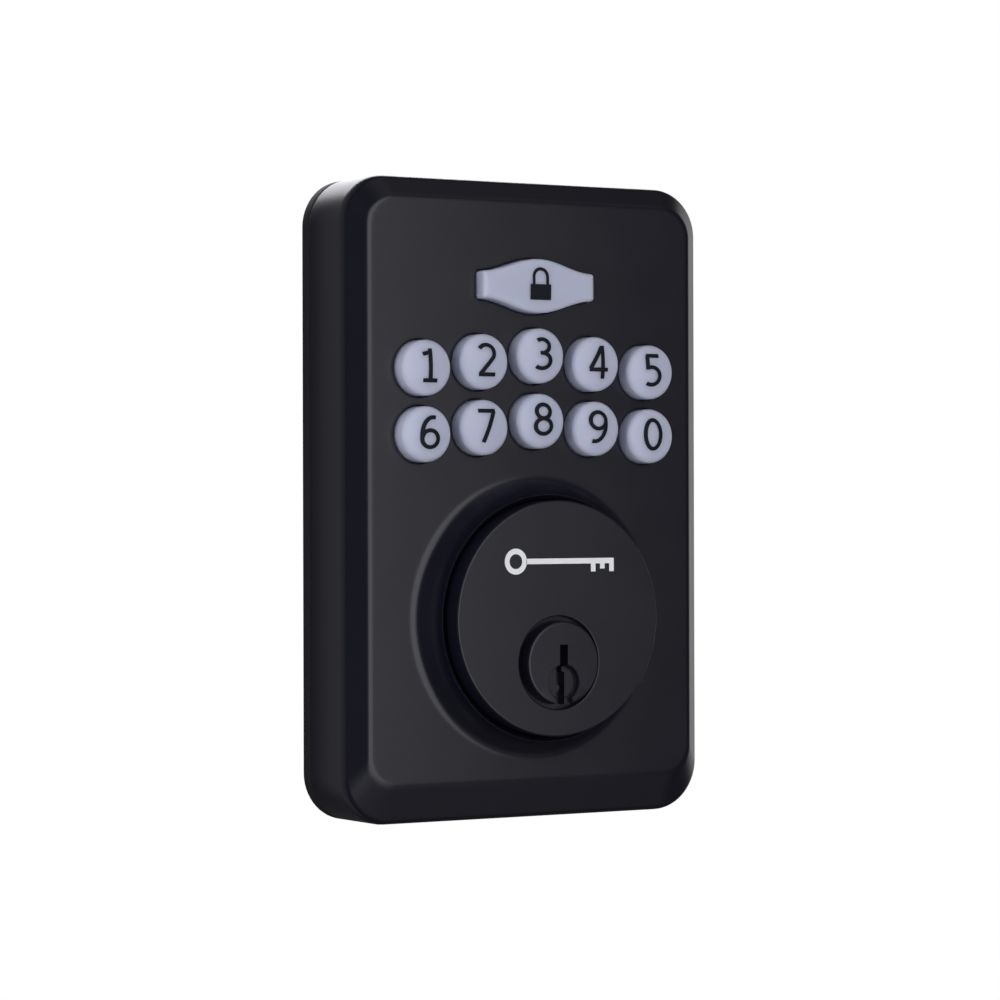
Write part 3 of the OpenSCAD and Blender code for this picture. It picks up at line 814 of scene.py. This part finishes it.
def strokeShape(bm, lines, width, place):
    # Gives each line a width and fills the sum of them with flat faces
    spots, loops = [], []
    for line in lines:
        closed = math.dist(line[0], line[-1]) < 1e-6
        sides = ([], [])
        for i, (x, z) in enumerate(line):
            before = line[i - 1] if i else line[-2 if closed else 0]
            after = line[i + 1] if i + 1 < len(line) else line[1 if closed else -1]
            way = Vector((after[0] - before[0], after[1] - before[1])).normalized() * width / 2
            sides[0].append(place(x - way.y, z + way.x))
            sides[1].append(place(x + way.y, z - way.x))
        if closed:
            # a ring becomes a row of small four-sided faces
            for i in range(len(line) - 1):
                loops.append((len(spots), len(spots) + 1, len(spots) + 2, len(spots) + 3))
                spots += [sides[1][i], sides[1][i + 1], sides[0][i + 1], sides[0][i]]
        else:
            loops.append(tuple(range(len(spots), len(spots) + 2 * len(line))))
            spots += sides[1] + sides[0][::-1]
    made, _, faces, _, _, owners = delaunay_2d_cdt([Vector(s) for s in spots], [], loops, 0, 1e-6)
    verts = [bm.verts.new(point(v.x, v.y, 0)) for v in made]
    for face, owner in zip(faces, owners):
        if owner:
            bm.faces.new([verts[i] for i in face])
    bmesh.ops.delete(bm, geom=[v for v in bm.verts if not v.link_faces], context="VERTS")


def makeDigits():
    height, width = sign["digitHeight"], sign["digitHeight"] * sign["digitWiden"]
    for name, lines in digitLines().items():
        x, z = numberKeys[name]
        bm = bmesh.new()
        strokeShape(bm, lines, sign["stroke"],
                    lambda a, b: (x + a * width, z + (b - 0.5) * height + sign["digitLift"]))
        draped(bm, lambda a, b: domeOut(math.hypot(a - x, b - z)))
        newPiece("digit_" + name, bm, f"key_{name}_cap", "ink", sharp=50)
    print("digits made")


def ringBand(bm, x, z, inner, outer, fromAngle, toAngle, steps):
    low, high = (addRing(bm, [point(a, b, 0) for a, b in arc((x, z), r, fromAngle, toAngle, steps)])
                 for r in (inner, outer))
    for i in range(steps):
        bm.faces.new((low[i], low[i + 1], high[i + 1], high[i]))


def flatBox(bm, left, right, bottom, top):
    corners = ((left, bottom), (right, bottom), (right, top), (left, top))
    bm.faces.new(addRing(bm, [point(x, z, 0) for x, z in corners]))


padlock = {
    "bodyWidth": 3.8,
    "bodyHeight": 2.45,
    "shackle": 1.5,         # outer radius
    "stroke": 0.5,
    "leg": 1.15,
    "foot": -2.2,           # bottom of the body, from the key's middle
}


def makePadlock():
    p = padlock
    x, bottom = lockKeyX, lockKeyZ + p["foot"]
    top = bottom + p["bodyHeight"]
    bm = bmesh.new()
    flatBox(bm, x - p["bodyWidth"] / 2, x + p["bodyWidth"] / 2, bottom, top)
    for s in (-1, 1):
        inner, outer = sorted((x + s * (p["shackle"] - p["stroke"]), x + s * p["shackle"]))
        flatBox(bm, inner, outer, top, top + p["leg"])
    ringBand(bm, x, top + p["leg"], p["shackle"] - p["stroke"], p["shackle"], 0, 180, 20)
    bmesh.ops.remove_doubles(bm, verts=bm.verts, dist=1e-5)
    draped(bm, lambda a, b: lockTopOut(a - lockKeyX, b - lockKeyZ))
    newPiece("padlock_sign", bm, "lock_key_cap", "ink", sharp=50)


keySign = {
    "middle": (0.15, 8.9),
    "bow": 2.0,
    "stroke": 0.85,
    "length": 20.0,
    "bit": 1.25,
    "teeth": ((0.0, 1.0), (1.7, 0.65), (3.4, 1.0)),     # distance from the tip and share of the bit
}


def makeKeySign():
    # A plain key, lying on its side, printed on the collar above the plug
    k = keySign
    x, z = k["middle"]
    left, right, half = x - k["length"] / 2, x + k["length"] / 2, k["stroke"] / 2
    face = nodeFront("cylinder_body")
    bm = bmesh.new()
    ringBand(bm, left + k["bow"], z, k["bow"] - k["stroke"], k["bow"], 0, 360, 40)
    flatBox(bm, left + 2 * k["bow"] - 0.1, right, z - half, z + half)
    for step, reach in k["teeth"]:
        flatBox(bm, right - step - k["stroke"], right - step, z - half - k["bit"] * reach, z - half)
    draped(bm, lambda a, b: face)
    newPiece("key_sign", bm, "lock_body", "sign_white", sharp=50)


makeDigits()
makePadlock()
makeKeySign()
print("signs made")


# Threads, screws and other turned steel

def threadRings(x, z, r, depth, start, end, pitch, count=24):
    # Rings of a helical thread: the radius rises and falls as the angle runs on
    steps = max(2, int(abs(end - start) / pitch * 6))
    rings = []
    for i in range(steps + 1):
        d = start + (end - start) * i / steps
        ring = []
        for j in range(count):
            phase = (d / pitch - j / count) % 1
            reach = r - depth * abs(2 * phase - 1)
            a = 2 * math.pi * j / count
            ring.append(point(x + reach * math.cos(a), z + reach * math.sin(a), d))
        rings.append(ring)
    return rings


# head: its radius, where it starts and ends, and whether it is countersunk; thread: radius and pitch
screws = {
    "cover_screws": {"head": 2.8, "back": 0.0, "front": 1.6, "sunk": True, "r": 1.4, "pitch": 1.0},
    "board_screws": {"head": 1.7, "back": 5.5, "front": 6.6, "sunk": False, "r": 0.9, "pitch": 0.7},
    "cylinder_screws": {"head": 2.7, "back": 5.7, "front": 7.5, "sunk": False, "r": 1.4, "pitch": 1.0},
}


screwForm = {
    "threadDeep": 0.17,     # these are shares of the thread's radius
    "point": 0.7,
    "tip": 0.25,
    "recessReach": 0.52,    # these are shares of the head's radius and depth
    "recessHalf": 0.13,
    "recessDeep": 0.8,
    "crown": 0.55,
    "crownDeep": 0.7,
    "lead": 1.2,            # length of the point
}


def plusOutline(x, z, reach, half):
    corners = [(half, half), (half, reach), (-half, reach), (-half, half), (-reach, half), (-reach, -half),
               (-half, -half), (-half, -reach), (half, -reach), (half, -half), (reach, -half), (reach, half)]
    return [(x + a, z + b) for a, b in corners]


def makeScrews(node, places):
    k, f = screws[node], screwForm
    bm, recess = bmesh.new(), bmesh.new()
    head, r, back, front = k["head"], k["r"], k["back"], k["front"]
    tip = nodeFront(node)
    for x, z in places:
        if k["sunk"]:
            profile = [(head - 0.15, back), (head, back + 0.08), (r, front)]
        else:
            profile = bezier((head * f["crown"], back), (head, back),
                             (head, back + (front - back) * f["crownDeep"]), 6)
            profile += [(head, front - 0.1), (head - 0.1, front), (r, front)]
        rings = [circlePoints(x, z, a, d, 24) for a, d in profile]
        rings += threadRings(x, z, r, f["threadDeep"] * r, front + 0.3, tip - f["lead"], k["pitch"])
        rings += [circlePoints(x, z, r * share, d, 24)
                  for share, d in ((f["point"], tip - f["lead"] + 0.3), (f["tip"], tip))]
        made = stackRings(bm, rings)
        capRing(bm, made[0], point(x, z, back))
        capRing(bm, made[-1], point(x, z, tip))
        slabShape(recess, plusOutline(x, z, head * f["recessReach"], head * f["recessHalf"]),
                  back - 1, back + (front - back) * f["recessDeep"])
    piece = carve(shape(bm, node + "_set"), [shape(recess)])
    dress(piece, "lock_body", "steel", [node], 30)


makeScrews("cover_screws", coverScrewPlaces)
makeScrews("board_screws", boardScrewPlaces)
makeScrews("cylinder_screws", earPlaces)
print("screws made")


# Cylinder casting: collar, barrel, pin tower, posts and ears

casting = {
    "skirt": 15.8,
    "flange": 21.0,
    "flangeFront": 12.9,
    "flangeBack": 9.9,
    "discBack": 19.2,
    "plugZ": -6.86,
    "barrel": 8.6,
    "barrelBack": -5.0,
    "bore": 6.4,
    "headHole": 7.25,
    "headHoleBack": 21.8,
    "holeRound": 0.22,
    "towerHalf": 4.2,
    "towerTop": 9.3,
    "ribHalf": 2.0,
    "ribBack": 2.0,
    "postX": 17.5,
    "post": 3.6,
    "postBack": -9.0,
    "tapped": 2.1,
    "tappedEnd": 9.0,
    "earHalf": 3.4,
    "earBack": 7.5,
    "earHole": 1.6,
    "chamber": 1.51,
    "stripHalf": 2.2,
    "stripFloor": 8.3,
    "stripBack": 0.4,
    "stripEnd": 19.4,
    "chamberFoot": -1.5,
    "threadDeep": 0.3,
    "threadPitch": 0.8,
    "postEdge": 0.4,
    "blockEdge": 0.35,
    "overlap": 0.1,         # how far joined shapes reach into each other
    "edge": 0.3,
}
pins = {
    "first": 17.7,          # distance of the first pin from the door
    "pitch": 3.81,
    "radius": 1.46,
    "tip": 0.9,
    "round": 0.2,
    "waist": 1.1,           # the driver pins' narrow middle
    "bevel": 0.18,
}
pinPlaces = [pins["first"] - pins["pitch"] * i for i in range(5)]


def upright(bm, d, profile, count=32):
    # A turned shape about a vertical line, from (radius, height) pairs
    before = set(bm.verts)
    turned(bm, 0, 0, profile, count)
    for v in bm.verts:
        if v not in before:
            v.co = point(v.co.x, -v.co.y, d + v.co.z)


def solid(build, *values):
    # Runs one of the drawing functions into a helper solid of its own
    bm = bmesh.new()
    build(bm, *values)
    return shape(bm)


def rod(x, z, r, near, far, count=64):
    return solid(turned, x, z, [(0, near), (r, near), (r, far), (0, far)], count)


def pinChambers(foot, roof):
    r = casting["chamber"]
    return [solid(upright, d, [(0, foot), (r, foot), (r, roof), (0, roof)]) for d in pinPlaces]


def makeCasting():
    k, c = casting, collar
    face = nodeFront("cylinder_body")
    e, joint = k["edge"], k["overlap"]
    bm = bmesh.new()
    rounded = arc((c["radius"] - c["edge"], face - c["edge"]), c["edge"], 90, 0, 6)
    turned(bm, 0, 0, [(0, face), *rounded,
                      (c["radius"], k["flangeFront"]), (k["flange"] - e, k["flangeFront"]),
                      (k["flange"], k["flangeFront"] - e), (k["flange"], k["flangeBack"] + e),
                      (k["flange"] - e, k["flangeBack"]), (k["skirt"] + e, k["flangeBack"]),
                      (k["skirt"], k["flangeBack"] + e), (k["skirt"], k["discBack"] - 1),
                      (k["skirt"] - 1, k["discBack"]), (0, k["discBack"])], 128)
    casing = shape(bm, "cylinder_casting")
    front = k["discBack"] + 0.3
    barrel = solid(turned, 0, k["plugZ"], [(0, k["barrelBack"]), (k["barrel"] - e, k["barrelBack"]),
                   (k["barrel"], k["barrelBack"] + e), (k["barrel"], front), (0, front)], 72)
    boxes = []
    for left, bottom, top, back, end in (
        (k["towerHalf"], k["plugZ"], k["towerTop"], 0, front),
        (k["postX"], -k["ribHalf"], k["ribHalf"], k["ribBack"], k["flangeFront"] - joint),
        (k["skirt"] + 0.5, -k["ribHalf"], k["ribHalf"], k["flangeBack"] + 2 * joint, front),
    ):
        bm = bmesh.new()
        blockShape(bm, -left, left, bottom, top, back, end)
        boxes.append(roundEdges(shape(bm), k["blockEdge"]))
    bm = bmesh.new()
    slabShape(bm, earOutline(), k["earBack"], k["flangeBack"] + 2 * joint)
    boxes.append(roundEdges(shape(bm), e))
    cut, end = k["postEdge"], k["flangeFront"] - joint
    posts = [solid(turned, s * k["postX"], 0, [
        (0, k["postBack"]), (k["post"] - cut, k["postBack"]), (k["post"], k["postBack"] + cut),
        (k["post"], end), (0, end)], 48) for s in (-1, 1)]
    carve(casing, [barrel, *boxes, *posts], "UNION")
    # bores and holes
    mouth = k["holeRound"]
    cutters = [
        rod(0, k["plugZ"], k["bore"], k["barrelBack"] - 1, face + 1, 72),
        solid(turned, 0, k["plugZ"], [(0, k["headHoleBack"]), (k["headHole"], k["headHoleBack"]),
              *arc((k["headHole"] + mouth, face - mouth), mouth, 180, 90, 6),
              (k["headHole"] + mouth, face + 1), (0, face + 1)], 96),
        solid(blockShape, -k["stripHalf"], k["stripHalf"], k["stripFloor"], k["towerTop"] + 1, k["stripBack"],
              k["stripEnd"]),
    ]
    cutters += pinChambers(k["chamberFoot"], k["towerTop"] + 1)
    for s in (-1, 1):
        x = s * k["postX"]
        bm = bmesh.new()
        rings = threadRings(x, 0, k["tapped"] + 0.12, k["threadDeep"], k["postBack"] + 0.6, k["tappedEnd"],
                            k["threadPitch"])
        made = stackRings(bm, [circlePoints(x, 0, k["tapped"] + 0.5, k["postBack"] - 0.5, 24),
                               circlePoints(x, 0, k["tapped"] + 0.3, k["postBack"] + 0.2, 24), *rings])
        capRing(bm, made[0], point(x, 0, k["postBack"] - 0.5))
        capRing(bm, made[-1], point(x, 0, k["tappedEnd"] + k["threadPitch"]))
        cutters.append(shape(bm))
    cutters += [rod(x, z, k["earHole"], k["earBack"] - 1, k["flangeBack"] + joint) for x, z in earPlaces]
    carve(casing, cutters)
    dress(casing, "lock_body", "collar_black", ["cylinder_body"], 32)
    print("cylinder casting made")


def earOutline():
    right = arc(earPlaces[1], casting["earHalf"], -90, 90, 14)
    return right + [(-a, -b) for a, b in right]


makeCasting()


# Plug, pins and springs

plugKnobs = {
    "thread": 6.0,
    "threadBack": -7.5,
    "body": 6.35,
    "head": 6.5,
    "headBack": 21.9,
    "edge": 0.4,
    "keywayHalf": 0.725,
    "keywayTop": -4.0,
    "keywayBack": -2.0,
    "ward": 0.5,            # how far each ward reaches into the keyway
    "rightWard": (-8.35, -7.25),
    "leftWard": (-11.25, -10.15),
    "pocket": 2.75,
    "pocketZ": -9.85,
    "pocketDeep": 1.1,
    "mouthHalf": 1.6,
    "mouthZ": -12.3,
    "mouthDeep": 1.1,
    "chamberFloor": -8.3,
    "slotEnd": -14.5,       # past the plug's rim
    "slant": 0.2,           # slope of the wards' corners
    "bevel": 0.3,
    "pocketEdge": 0.12,
}


def keywayOutline():
    # Slot from its top down through the plug's rim, with one ward from each side
    k = plugKnobs
    h = k["keywayHalf"]

    def ward(low, high):
        return [(h, high), (h - k["ward"], high - k["slant"]), (h - k["ward"], low + k["slant"]), (h, low)]

    right = [(h, k["keywayTop"]), *ward(*k["rightWard"]), (h, k["slotEnd"])]
    left = [(h, k["keywayTop"]), *ward(*k["leftWard"]), (h, k["slotEnd"])]
    return right + [(-x, z) for x, z in reversed(left)]


def makePlug():
    k = plugKnobs
    z, face, e = casting["plugZ"], nodeFront("plug"), plugKnobs["edge"]
    bm = bmesh.new()
    cut = k["bevel"]
    profile = [(0, k["threadBack"]), (k["thread"] - cut, k["threadBack"]),
               (k["thread"], k["threadBack"] + cut),
               (k["thread"], casting["barrelBack"]), (k["body"], casting["barrelBack"] + 0.1),
               (k["body"], k["headBack"]), (k["head"], k["headBack"])]
    profile += arc((k["head"] - e, face - e), e, 0, 90, 7) + [(0, face)]
    turned(bm, 0, z, profile, 128)
    plug = shape(bm, "plug_core")
    r, floor, wide = k["pocket"], face - k["pocketDeep"], k["pocketEdge"]
    cutters = [
        solid(slabShape, keywayOutline(), k["keywayBack"], face + 1),
        solid(turned, 0, k["pocketZ"], [(0, floor), (r - cut, floor), (r, floor + cut), (r, face - wide),
                                        (r + wide, face), (r + wide, face + 1), (0, face + 1)], 48),
        solid(blockShape, -k["mouthHalf"], k["mouthHalf"], k["mouthZ"] - 3, k["mouthZ"],
              face - k["mouthDeep"], face + 1),
    ]
    carve(plug, cutters + pinChambers(k["chamberFloor"], 1))
    dress(plug, "plug_assembly", "plug_black", ["plug"], 32)
    print("plug made")


def makePins():
    r, top, waist, c = (pins[key] for key in ("radius", "round", "waist", "bevel"))
    for i, d in enumerate(pinPlaces, 1):
        low, high = nodeBox(f"key_pin_{i}")
        bm = bmesh.new()
        upright(bm, d, [(0, low.z), (0.35, low.z), (0.5, low.z + 0.1), (r, low.z + pins["tip"]),
                        (r, high.z - top), *arc((r - top, high.z - top), top, 20, 90, 3), (0, high.z)])
        newPiece(f"bottom_pin_{i}", bm, f"key_pin_{i}_body", "brass", [f"key_pin_{i}"], 35)
        low, high = nodeBox(f"driver_pin_{i}")
        bm = bmesh.new()
        upright(bm, d, [(0, low.z), (r - c, low.z), (r, low.z + c), (r, low.z + 0.8), (waist, low.z + 1.1),
                        (waist, high.z - 1.5), (r, high.z - 1.2), (r, high.z - c), (r - c, high.z),
                        (0, high.z)])
        newPiece(f"top_pin_{i}", bm, f"driver_pin_{i}_body", "steel", [f"driver_pin_{i}"], 35)
    print("pins made:", 2 * len(pinPlaces))


spring = {
    "coil": 1.16,
    "wire": 0.17,
    "turns": 5.5,
    "flatTurns": 0.8,       # closed turns at each end
    "squashed": 1.2,        # how much a driver's lift takes from its length
}


def makeSprings():
    k = spring
    stepsPerTurn, sides = 20, 8
    total = k["turns"] + 2 * k["flatTurns"]
    for i, d in enumerate(pinPlaces, 1):
        low, high = nodeBox(f"pin_spring_{i}")
        length = high.z - low.z
        rings = []
        for n in range(int(total * stepsPerTurn) + 1):
            turn = n / stepsPerTurn
            climb = min(max(turn - k["flatTurns"], 0) / k["turns"], 1)
            a = 2 * math.pi * turn
            h = low.z + k["wire"] + (length - 2 * k["wire"]) * climb
            ring = []
            for m in range(sides):
                b = 2 * math.pi * m / sides
                reach = k["coil"] + k["wire"] * math.cos(b)
                ring.append(point(reach * math.cos(a), h + k["wire"] * math.sin(b), d + reach * math.sin(a)))
            rings.append(ring)
        bm = bmesh.new()
        made = stackRings(bm, rings)
        bm.faces.new(made[0])
        bm.faces.new(made[-1])
        piece = newPiece(f"coil_spring_{i}", bm, "lock_body", "steel", [f"pin_spring_{i}"], 60)
        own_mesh(piece)
    print("springs made")


makePlug()
makePins()
makeSprings()


# Back cover and the foam gasket that seals it to the door

cover = {
    "thick": 2.4,
    "edge": 0.3,
    "lipGap": 0.2,
    "lipWide": 1.2,
    "lipDeep": 1.4,
    "hole": 23.5,
    "screwHole": 1.6,
    "sinkMouth": 2.8,
    "sinkDeep": 1.6,
    "gasketIn": 1.6,
    "gasketWide": 2.0,
    "gasketDeep": 1.2,
}


def holeRings(bm, x, z, profile, count=48):
    # A hole right through: its first and last rings are for filling the flat faces round them
    made = stackRings(bm, [circlePoints(x, z, r, d, count) for r, d in profile])
    return made[0], made[-1]


def makeBackCover():
    k, e = cover, cover["edge"]
    thick, end = k["thick"], k["thick"] + k["lipDeep"]
    side, sill = shell["wall"] + k["lipGap"], shell["sill"] + k["lipGap"]
    bm = bmesh.new()
    skin = stackRings(bm, [bodyOutline(d, g) for g, d in (
        (e, 0), (e * 0.3, e * 0.3), (0, e), (0, thick - e), (e * 0.3, thick - e * 0.3), (e, thick))])
    w = k["lipWide"]
    lip = stackRings(bm, [bodyOutline(d, side + g, sill + g) for g, d in (
        (0, thick), (0, end - 0.3), (0.3, end), (w - 0.3, end), (w, end - 0.3), (w, thick))])
    near, wide = k["gasketIn"], k["gasketWide"]
    groove = stackRings(bm, [bodyOutline(0, near), bodyOutline(k["gasketDeep"], near),
                             bodyOutline(k["gasketDeep"], near + wide), bodyOutline(0, near + wide)])
    holes = [holeRings(bm, 0, 0, [(k["hole"] + 0.3, 0), (k["hole"], 0.3), (k["hole"], thick - 0.3),
                                  (k["hole"] + 0.3, thick)], 128)]
    for x, z in coverScrewPlaces:
        holes.append(holeRings(bm, x, z, [(k["sinkMouth"] + 0.1, 0), (k["screwHole"], k["sinkDeep"]),
                                          (k["screwHole"], thick)], 32))
    fillFlat(bm, skin[0], [groove[0]])
    fillFlat(bm, groove[-1], [hole[0] for hole in holes])
    fillFlat(bm, skin[-1], [lip[0]])
    fillFlat(bm, lip[-1], [hole[1] for hole in holes])
    newPiece("rear_cover", bm, "lock_body", "cover_plastic", ["back_cover"], sharp=40)
    deep = k["gasketDeep"]
    bm = bmesh.new()
    section = [(0.04, deep), (0.04, 0.5), (0.2, 0.2), (0.55, 0.04), (1.0, 0), (1.45, 0.04), (1.8, 0.2),
               (1.96, 0.5), (1.96, deep)]
    made = stackRings(bm, [bodyOutline(d, near + g) for g, d in section])
    joinRings(bm, made[-1], made[0])
    newPiece("door_gasket", bm, "lock_body", "black_rubber", ["rear_gasket"], sharp=60)
    print("back cover and gasket made")


makeBackCover()


# Key mat: one web with a rubber dome under each key

mat = {
    "side": 25.4,
    "bottom": 22.8,
    "top": 57.2,
    "web": 1.0,
    "base": 4.0,
    "crown": 2.6,
    "wall": 0.55,
    "windowWide": 2.0,
    "windowTall": 1.2,
    "rowPitch": 10.2,
    "lockWindow": 6.5,
    "travel": 1.1,          # how far a pressed key flattens its dome
}


def makeKeyMat():
    k = mat
    back, front = nodeBack("key_mat"), nodeFront("key_mat")
    bm = bmesh.new()
    web = back + k["web"]
    side = k["side"]
    skin = stackRings(bm, [roundBox(g - side, side - g, k["bottom"] + g, k["top"] - g, 2 - g, d, 8, 1)
                           for g, d in ((0.1, back), (0, back + 0.1), (0, web - 0.15), (0.15, web))])
    domes = {name: (x, z, f"key_{name}_press") for name, (x, z) in numberKeys.items()}
    domes["lock"] = (lockKeyX, lockKeyZ, "lock_key_press")
    windows = [(x, z + k["rowPitch"] / 2) for x, z in numberKeys.values()]
    windows += [(s * k["lockWindow"], lockKeyZ) for s in (-1, 1)]
    holes = [holeRings(bm, x, z, [(k["base"], back), (k["base"], web)], 40) for x, z, _ in domes.values()]
    for x, z in windows:
        w, h = k["windowWide"] / 2, k["windowTall"] / 2
        made = stackRings(bm, [roundBox(x - w, x + w, z - h, z + h, 0.2, d, 3, 1) for d in (back, web)])
        holes.append((made[0], made[1]))
    fillFlat(bm, skin[0], [hole[0] for hole in holes])
    fillFlat(bm, skin[-1], [hole[1] for hole in holes])
    newPiece("mat_web", bm, "lock_body", "silicone", ["key_mat"], sharp=40)
    tall, wall = front - back, k["wall"]
    for name, (x, z, joint) in domes.items():
        bm = bmesh.new()
        roof = tall - 2 * wall
        turned(bm, x, z, [(0, back + roof), (k["crown"] - wall, back + roof), (k["base"] - wall, web),
                          (k["base"] - wall, back), (k["base"], back), (k["base"], web),
                          (k["base"] - 0.15, web + 0.3), (k["crown"] + 0.1, front - 0.35),
                          (k["crown"] - 0.05, front - 0.08), (k["crown"] - 0.3, front), (0, front)], 40)
        dome = newPiece("mat_dome_" + name, bm, "lock_body", "silicone", ["key_mat"], sharp=50)
        x * perMm
        z * perMm
        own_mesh(dome)
    print("key mat made")


makeKeyMat()


# Tail cap, tailpiece and the small parts that keep their CAD shape with softened edges

tail = {
    "cap": 8.0,
    "capBack": -10.9,
    "capFront": -5.15,
    "thread": 6.0,
    "threadBack": -7.5,
    "cavity": 5.5,
    "cavityBack": -9.1,
    "teeth": 36,
    "toothDeep": 0.16,
    "bladeWide": 7.6,
    "bladeThick": 1.9,
    "clear": 0.1,
    "swing": 45.0,
    "headWide": 10.4,
    "headThick": 1.3,
    "front": -7.6,
    "point": 2.0,
    "pinHole": 0.62,
    "pinOut": -6.3,
    "pinReach": (4, 9),     # where its hole starts and ends, from the cap's middle
    "grooveFirst": -16.0,
    "groovePitch": 5.0,
    "grooveDeep": 0.22,
}


def makeTailCap():
    k, z = tail, casting["plugZ"]
    bm = bmesh.new()
    turned(bm, 0, 0, [(0, k["capBack"]), (k["cap"] - 0.5, k["capBack"]), (k["cap"], k["capBack"] + 0.5),
                      (k["cap"], k["capFront"] - 0.5), (k["cap"] - 0.5, k["capFront"]),
                      (k["thread"] + 0.2, k["capFront"]), (k["thread"], k["capFront"] - 0.2),
                      (k["thread"], k["threadBack"]), (k["cavity"], k["threadBack"]),
                      (k["cavity"], k["cavityBack"]), (0, k["cavityBack"])], k["teeth"] * 6)
    for v in bm.verts:
        if math.hypot(v.co.x, v.co.z) > k["cap"] - 0.1:
            ripple = 1 + math.cos(k["teeth"] * math.atan2(v.co.z, v.co.x))
            v.co.x, v.co.z = (a * (1 - k["toothDeep"] * ripple / 2 / k["cap"]) for a in (v.co.x, v.co.z))
    bmesh.ops.translate(bm, vec=(0, 0, z), verts=bm.verts)
    cap = shape(bm, "tail_nut")
    # bow-tie opening that lets the blade swing before it carries the cap along
    half = k["bladeThick"] / 2 + k["clear"]
    reach = math.hypot(k["bladeWide"], k["bladeThick"]) / 2 + 2 * k["clear"]
    spread = math.degrees(math.asin(half / reach))
    low, high = 90 - k["swing"] - spread, 90 + k["swing"] + spread
    upper = arc((0, 0), reach, low, high, 20)
    waist = half * math.sqrt(2)
    outline = upper + [(-waist, 0)] + [(-a, -b) for a, b in upper] + [(waist, 0)]
    opening = solid(slabShape, [(a, z + b) for a, b in outline], k["capBack"] - 1, k["cavityBack"] + 0.5)
    bm = bmesh.new()
    near, far = k["pinReach"]
    turned(bm, 0, 0, [(0, near), (k["pinHole"], near), (k["pinHole"], far), (0, far)], 24)
    for v in bm.verts:
        v.co = point(-v.co.y, z + v.co.x, k["pinOut"] + v.co.z)
    carve(cap, [opening, shape(bm)])
    dress(cap, "plug_assembly", "steel", ["tail_cap"], 30)


def makeTailpiece():
    k, z = tail, casting["plugZ"]
    x, h, back = k["bladeThick"] / 2, k["bladeWide"] / 2, nodeBack("tailpiece")
    rows = [(back, x - 0.35, h - k["point"] - 0.2), (back + 0.3, x, h - k["point"] + 0.1),
            (back + k["point"], x, h)]
    d = back + k["groovePitch"]
    while d < k["grooveFirst"]:
        rows += [(d - k["grooveDeep"], x, h), (d, x - k["grooveDeep"], h - k["grooveDeep"]),
                 (d + k["grooveDeep"], x, h)]
        d += k["groovePitch"]
    head = k["front"] - k["headThick"]
    wide = k["headWide"] / 2
    rows += [(head, x, h), (head, x, wide - 0.15), (head + 0.15, x, wide), (k["front"] - 0.15, x, wide),
             (k["front"], x - 0.15, wide - 0.15)]
    bm = bmesh.new()
    made = stackRings(bm, [roundBox(-a, a, z - b, z + b, 0.25, d, 3, 2) for d, a, b in rows])
    capRing(bm, made[0], point(0, z, back))
    capRing(bm, made[-1], point(0, z, k["front"]))
    newPiece("tail_bar", bm, "tail_blade", "steel", ["tailpiece"], sharp=30)
    print("tail cap and tailpiece made")


softEdges = {
    # width of the soft edge of the parts that otherwise are as the CAD has them
    "keypad_board": 0.12, "board_chips": 0.1, "board_leds": 0.08, "buzzer": 0.25, "cable_socket": 0.15,
    "collar_seal": 0.15, "pin_cover": 0.15, "cap_pin": 0.12,
}


def soften(node, width):
    # The CAD shape of a small part with its sharp edges rounded
    source = frame["nodes"][node]
    mesh = source.data.copy()
    mesh.transform(Matrix.Scale(1 / perMm, 4) @ source.matrix_world)
    bm = bmesh.new()
    bm.from_mesh(mesh)
    bmesh.ops.remove_doubles(bm, verts=bm.verts, dist=1e-4)
    bmesh.ops.dissolve_limit(bm, angle_limit=math.radians(2), verts=bm.verts, edges=bm.edges)
    row = [r for r in frame["record"]["subparts"] if r["node"] == node][0]
    body = "plug_assembly" if node == "cap_pin" else "lock_body"
    piece = roundEdges(shape(bm, node + "_soft"), width)
    dress(piece, body, row["material_slot"], [node], 40)


makeTailCap()
makeTailpiece()
for smallPart, softWidth in softEdges.items():
    soften(smallPart, softWidth)
print("small parts made:", len(softEdges))


# Floor far below the lock

floorPlan = {
    "half": 600.0,
    "level": -260.0,
    "cells": 24,
}


def makeFloor():
    half, level, cells = floorPlan["half"], floorPlan["level"], floorPlan["cells"]
    places = [-half + 2 * half * i / cells for i in range(cells + 1)]
    bm = bmesh.new()
    rows = [addRing(bm, [point(x, level, d) for x in places]) for d in places]
    for row, after in zip(rows, rows[1:]):
        for i in range(cells):
            bm.faces.new((row[i], row[i + 1], after[i + 1], after[i]))
    floor = shape(bm, "floor")
    floor.data.transform(Matrix.Scale(perMm, 4))
    floor.data.materials.append(moulded("floorPaint", (0.93, 0.93, 0.93), 0.8, 6.0, 0.05,
                                        Emission_Color=(1.0, 1.0, 1.0, 1.0), Emission_Strength=0.6))
    floor.visible_diffuse = floor.visible_glossy = False


makeFloor()
print("floor made")
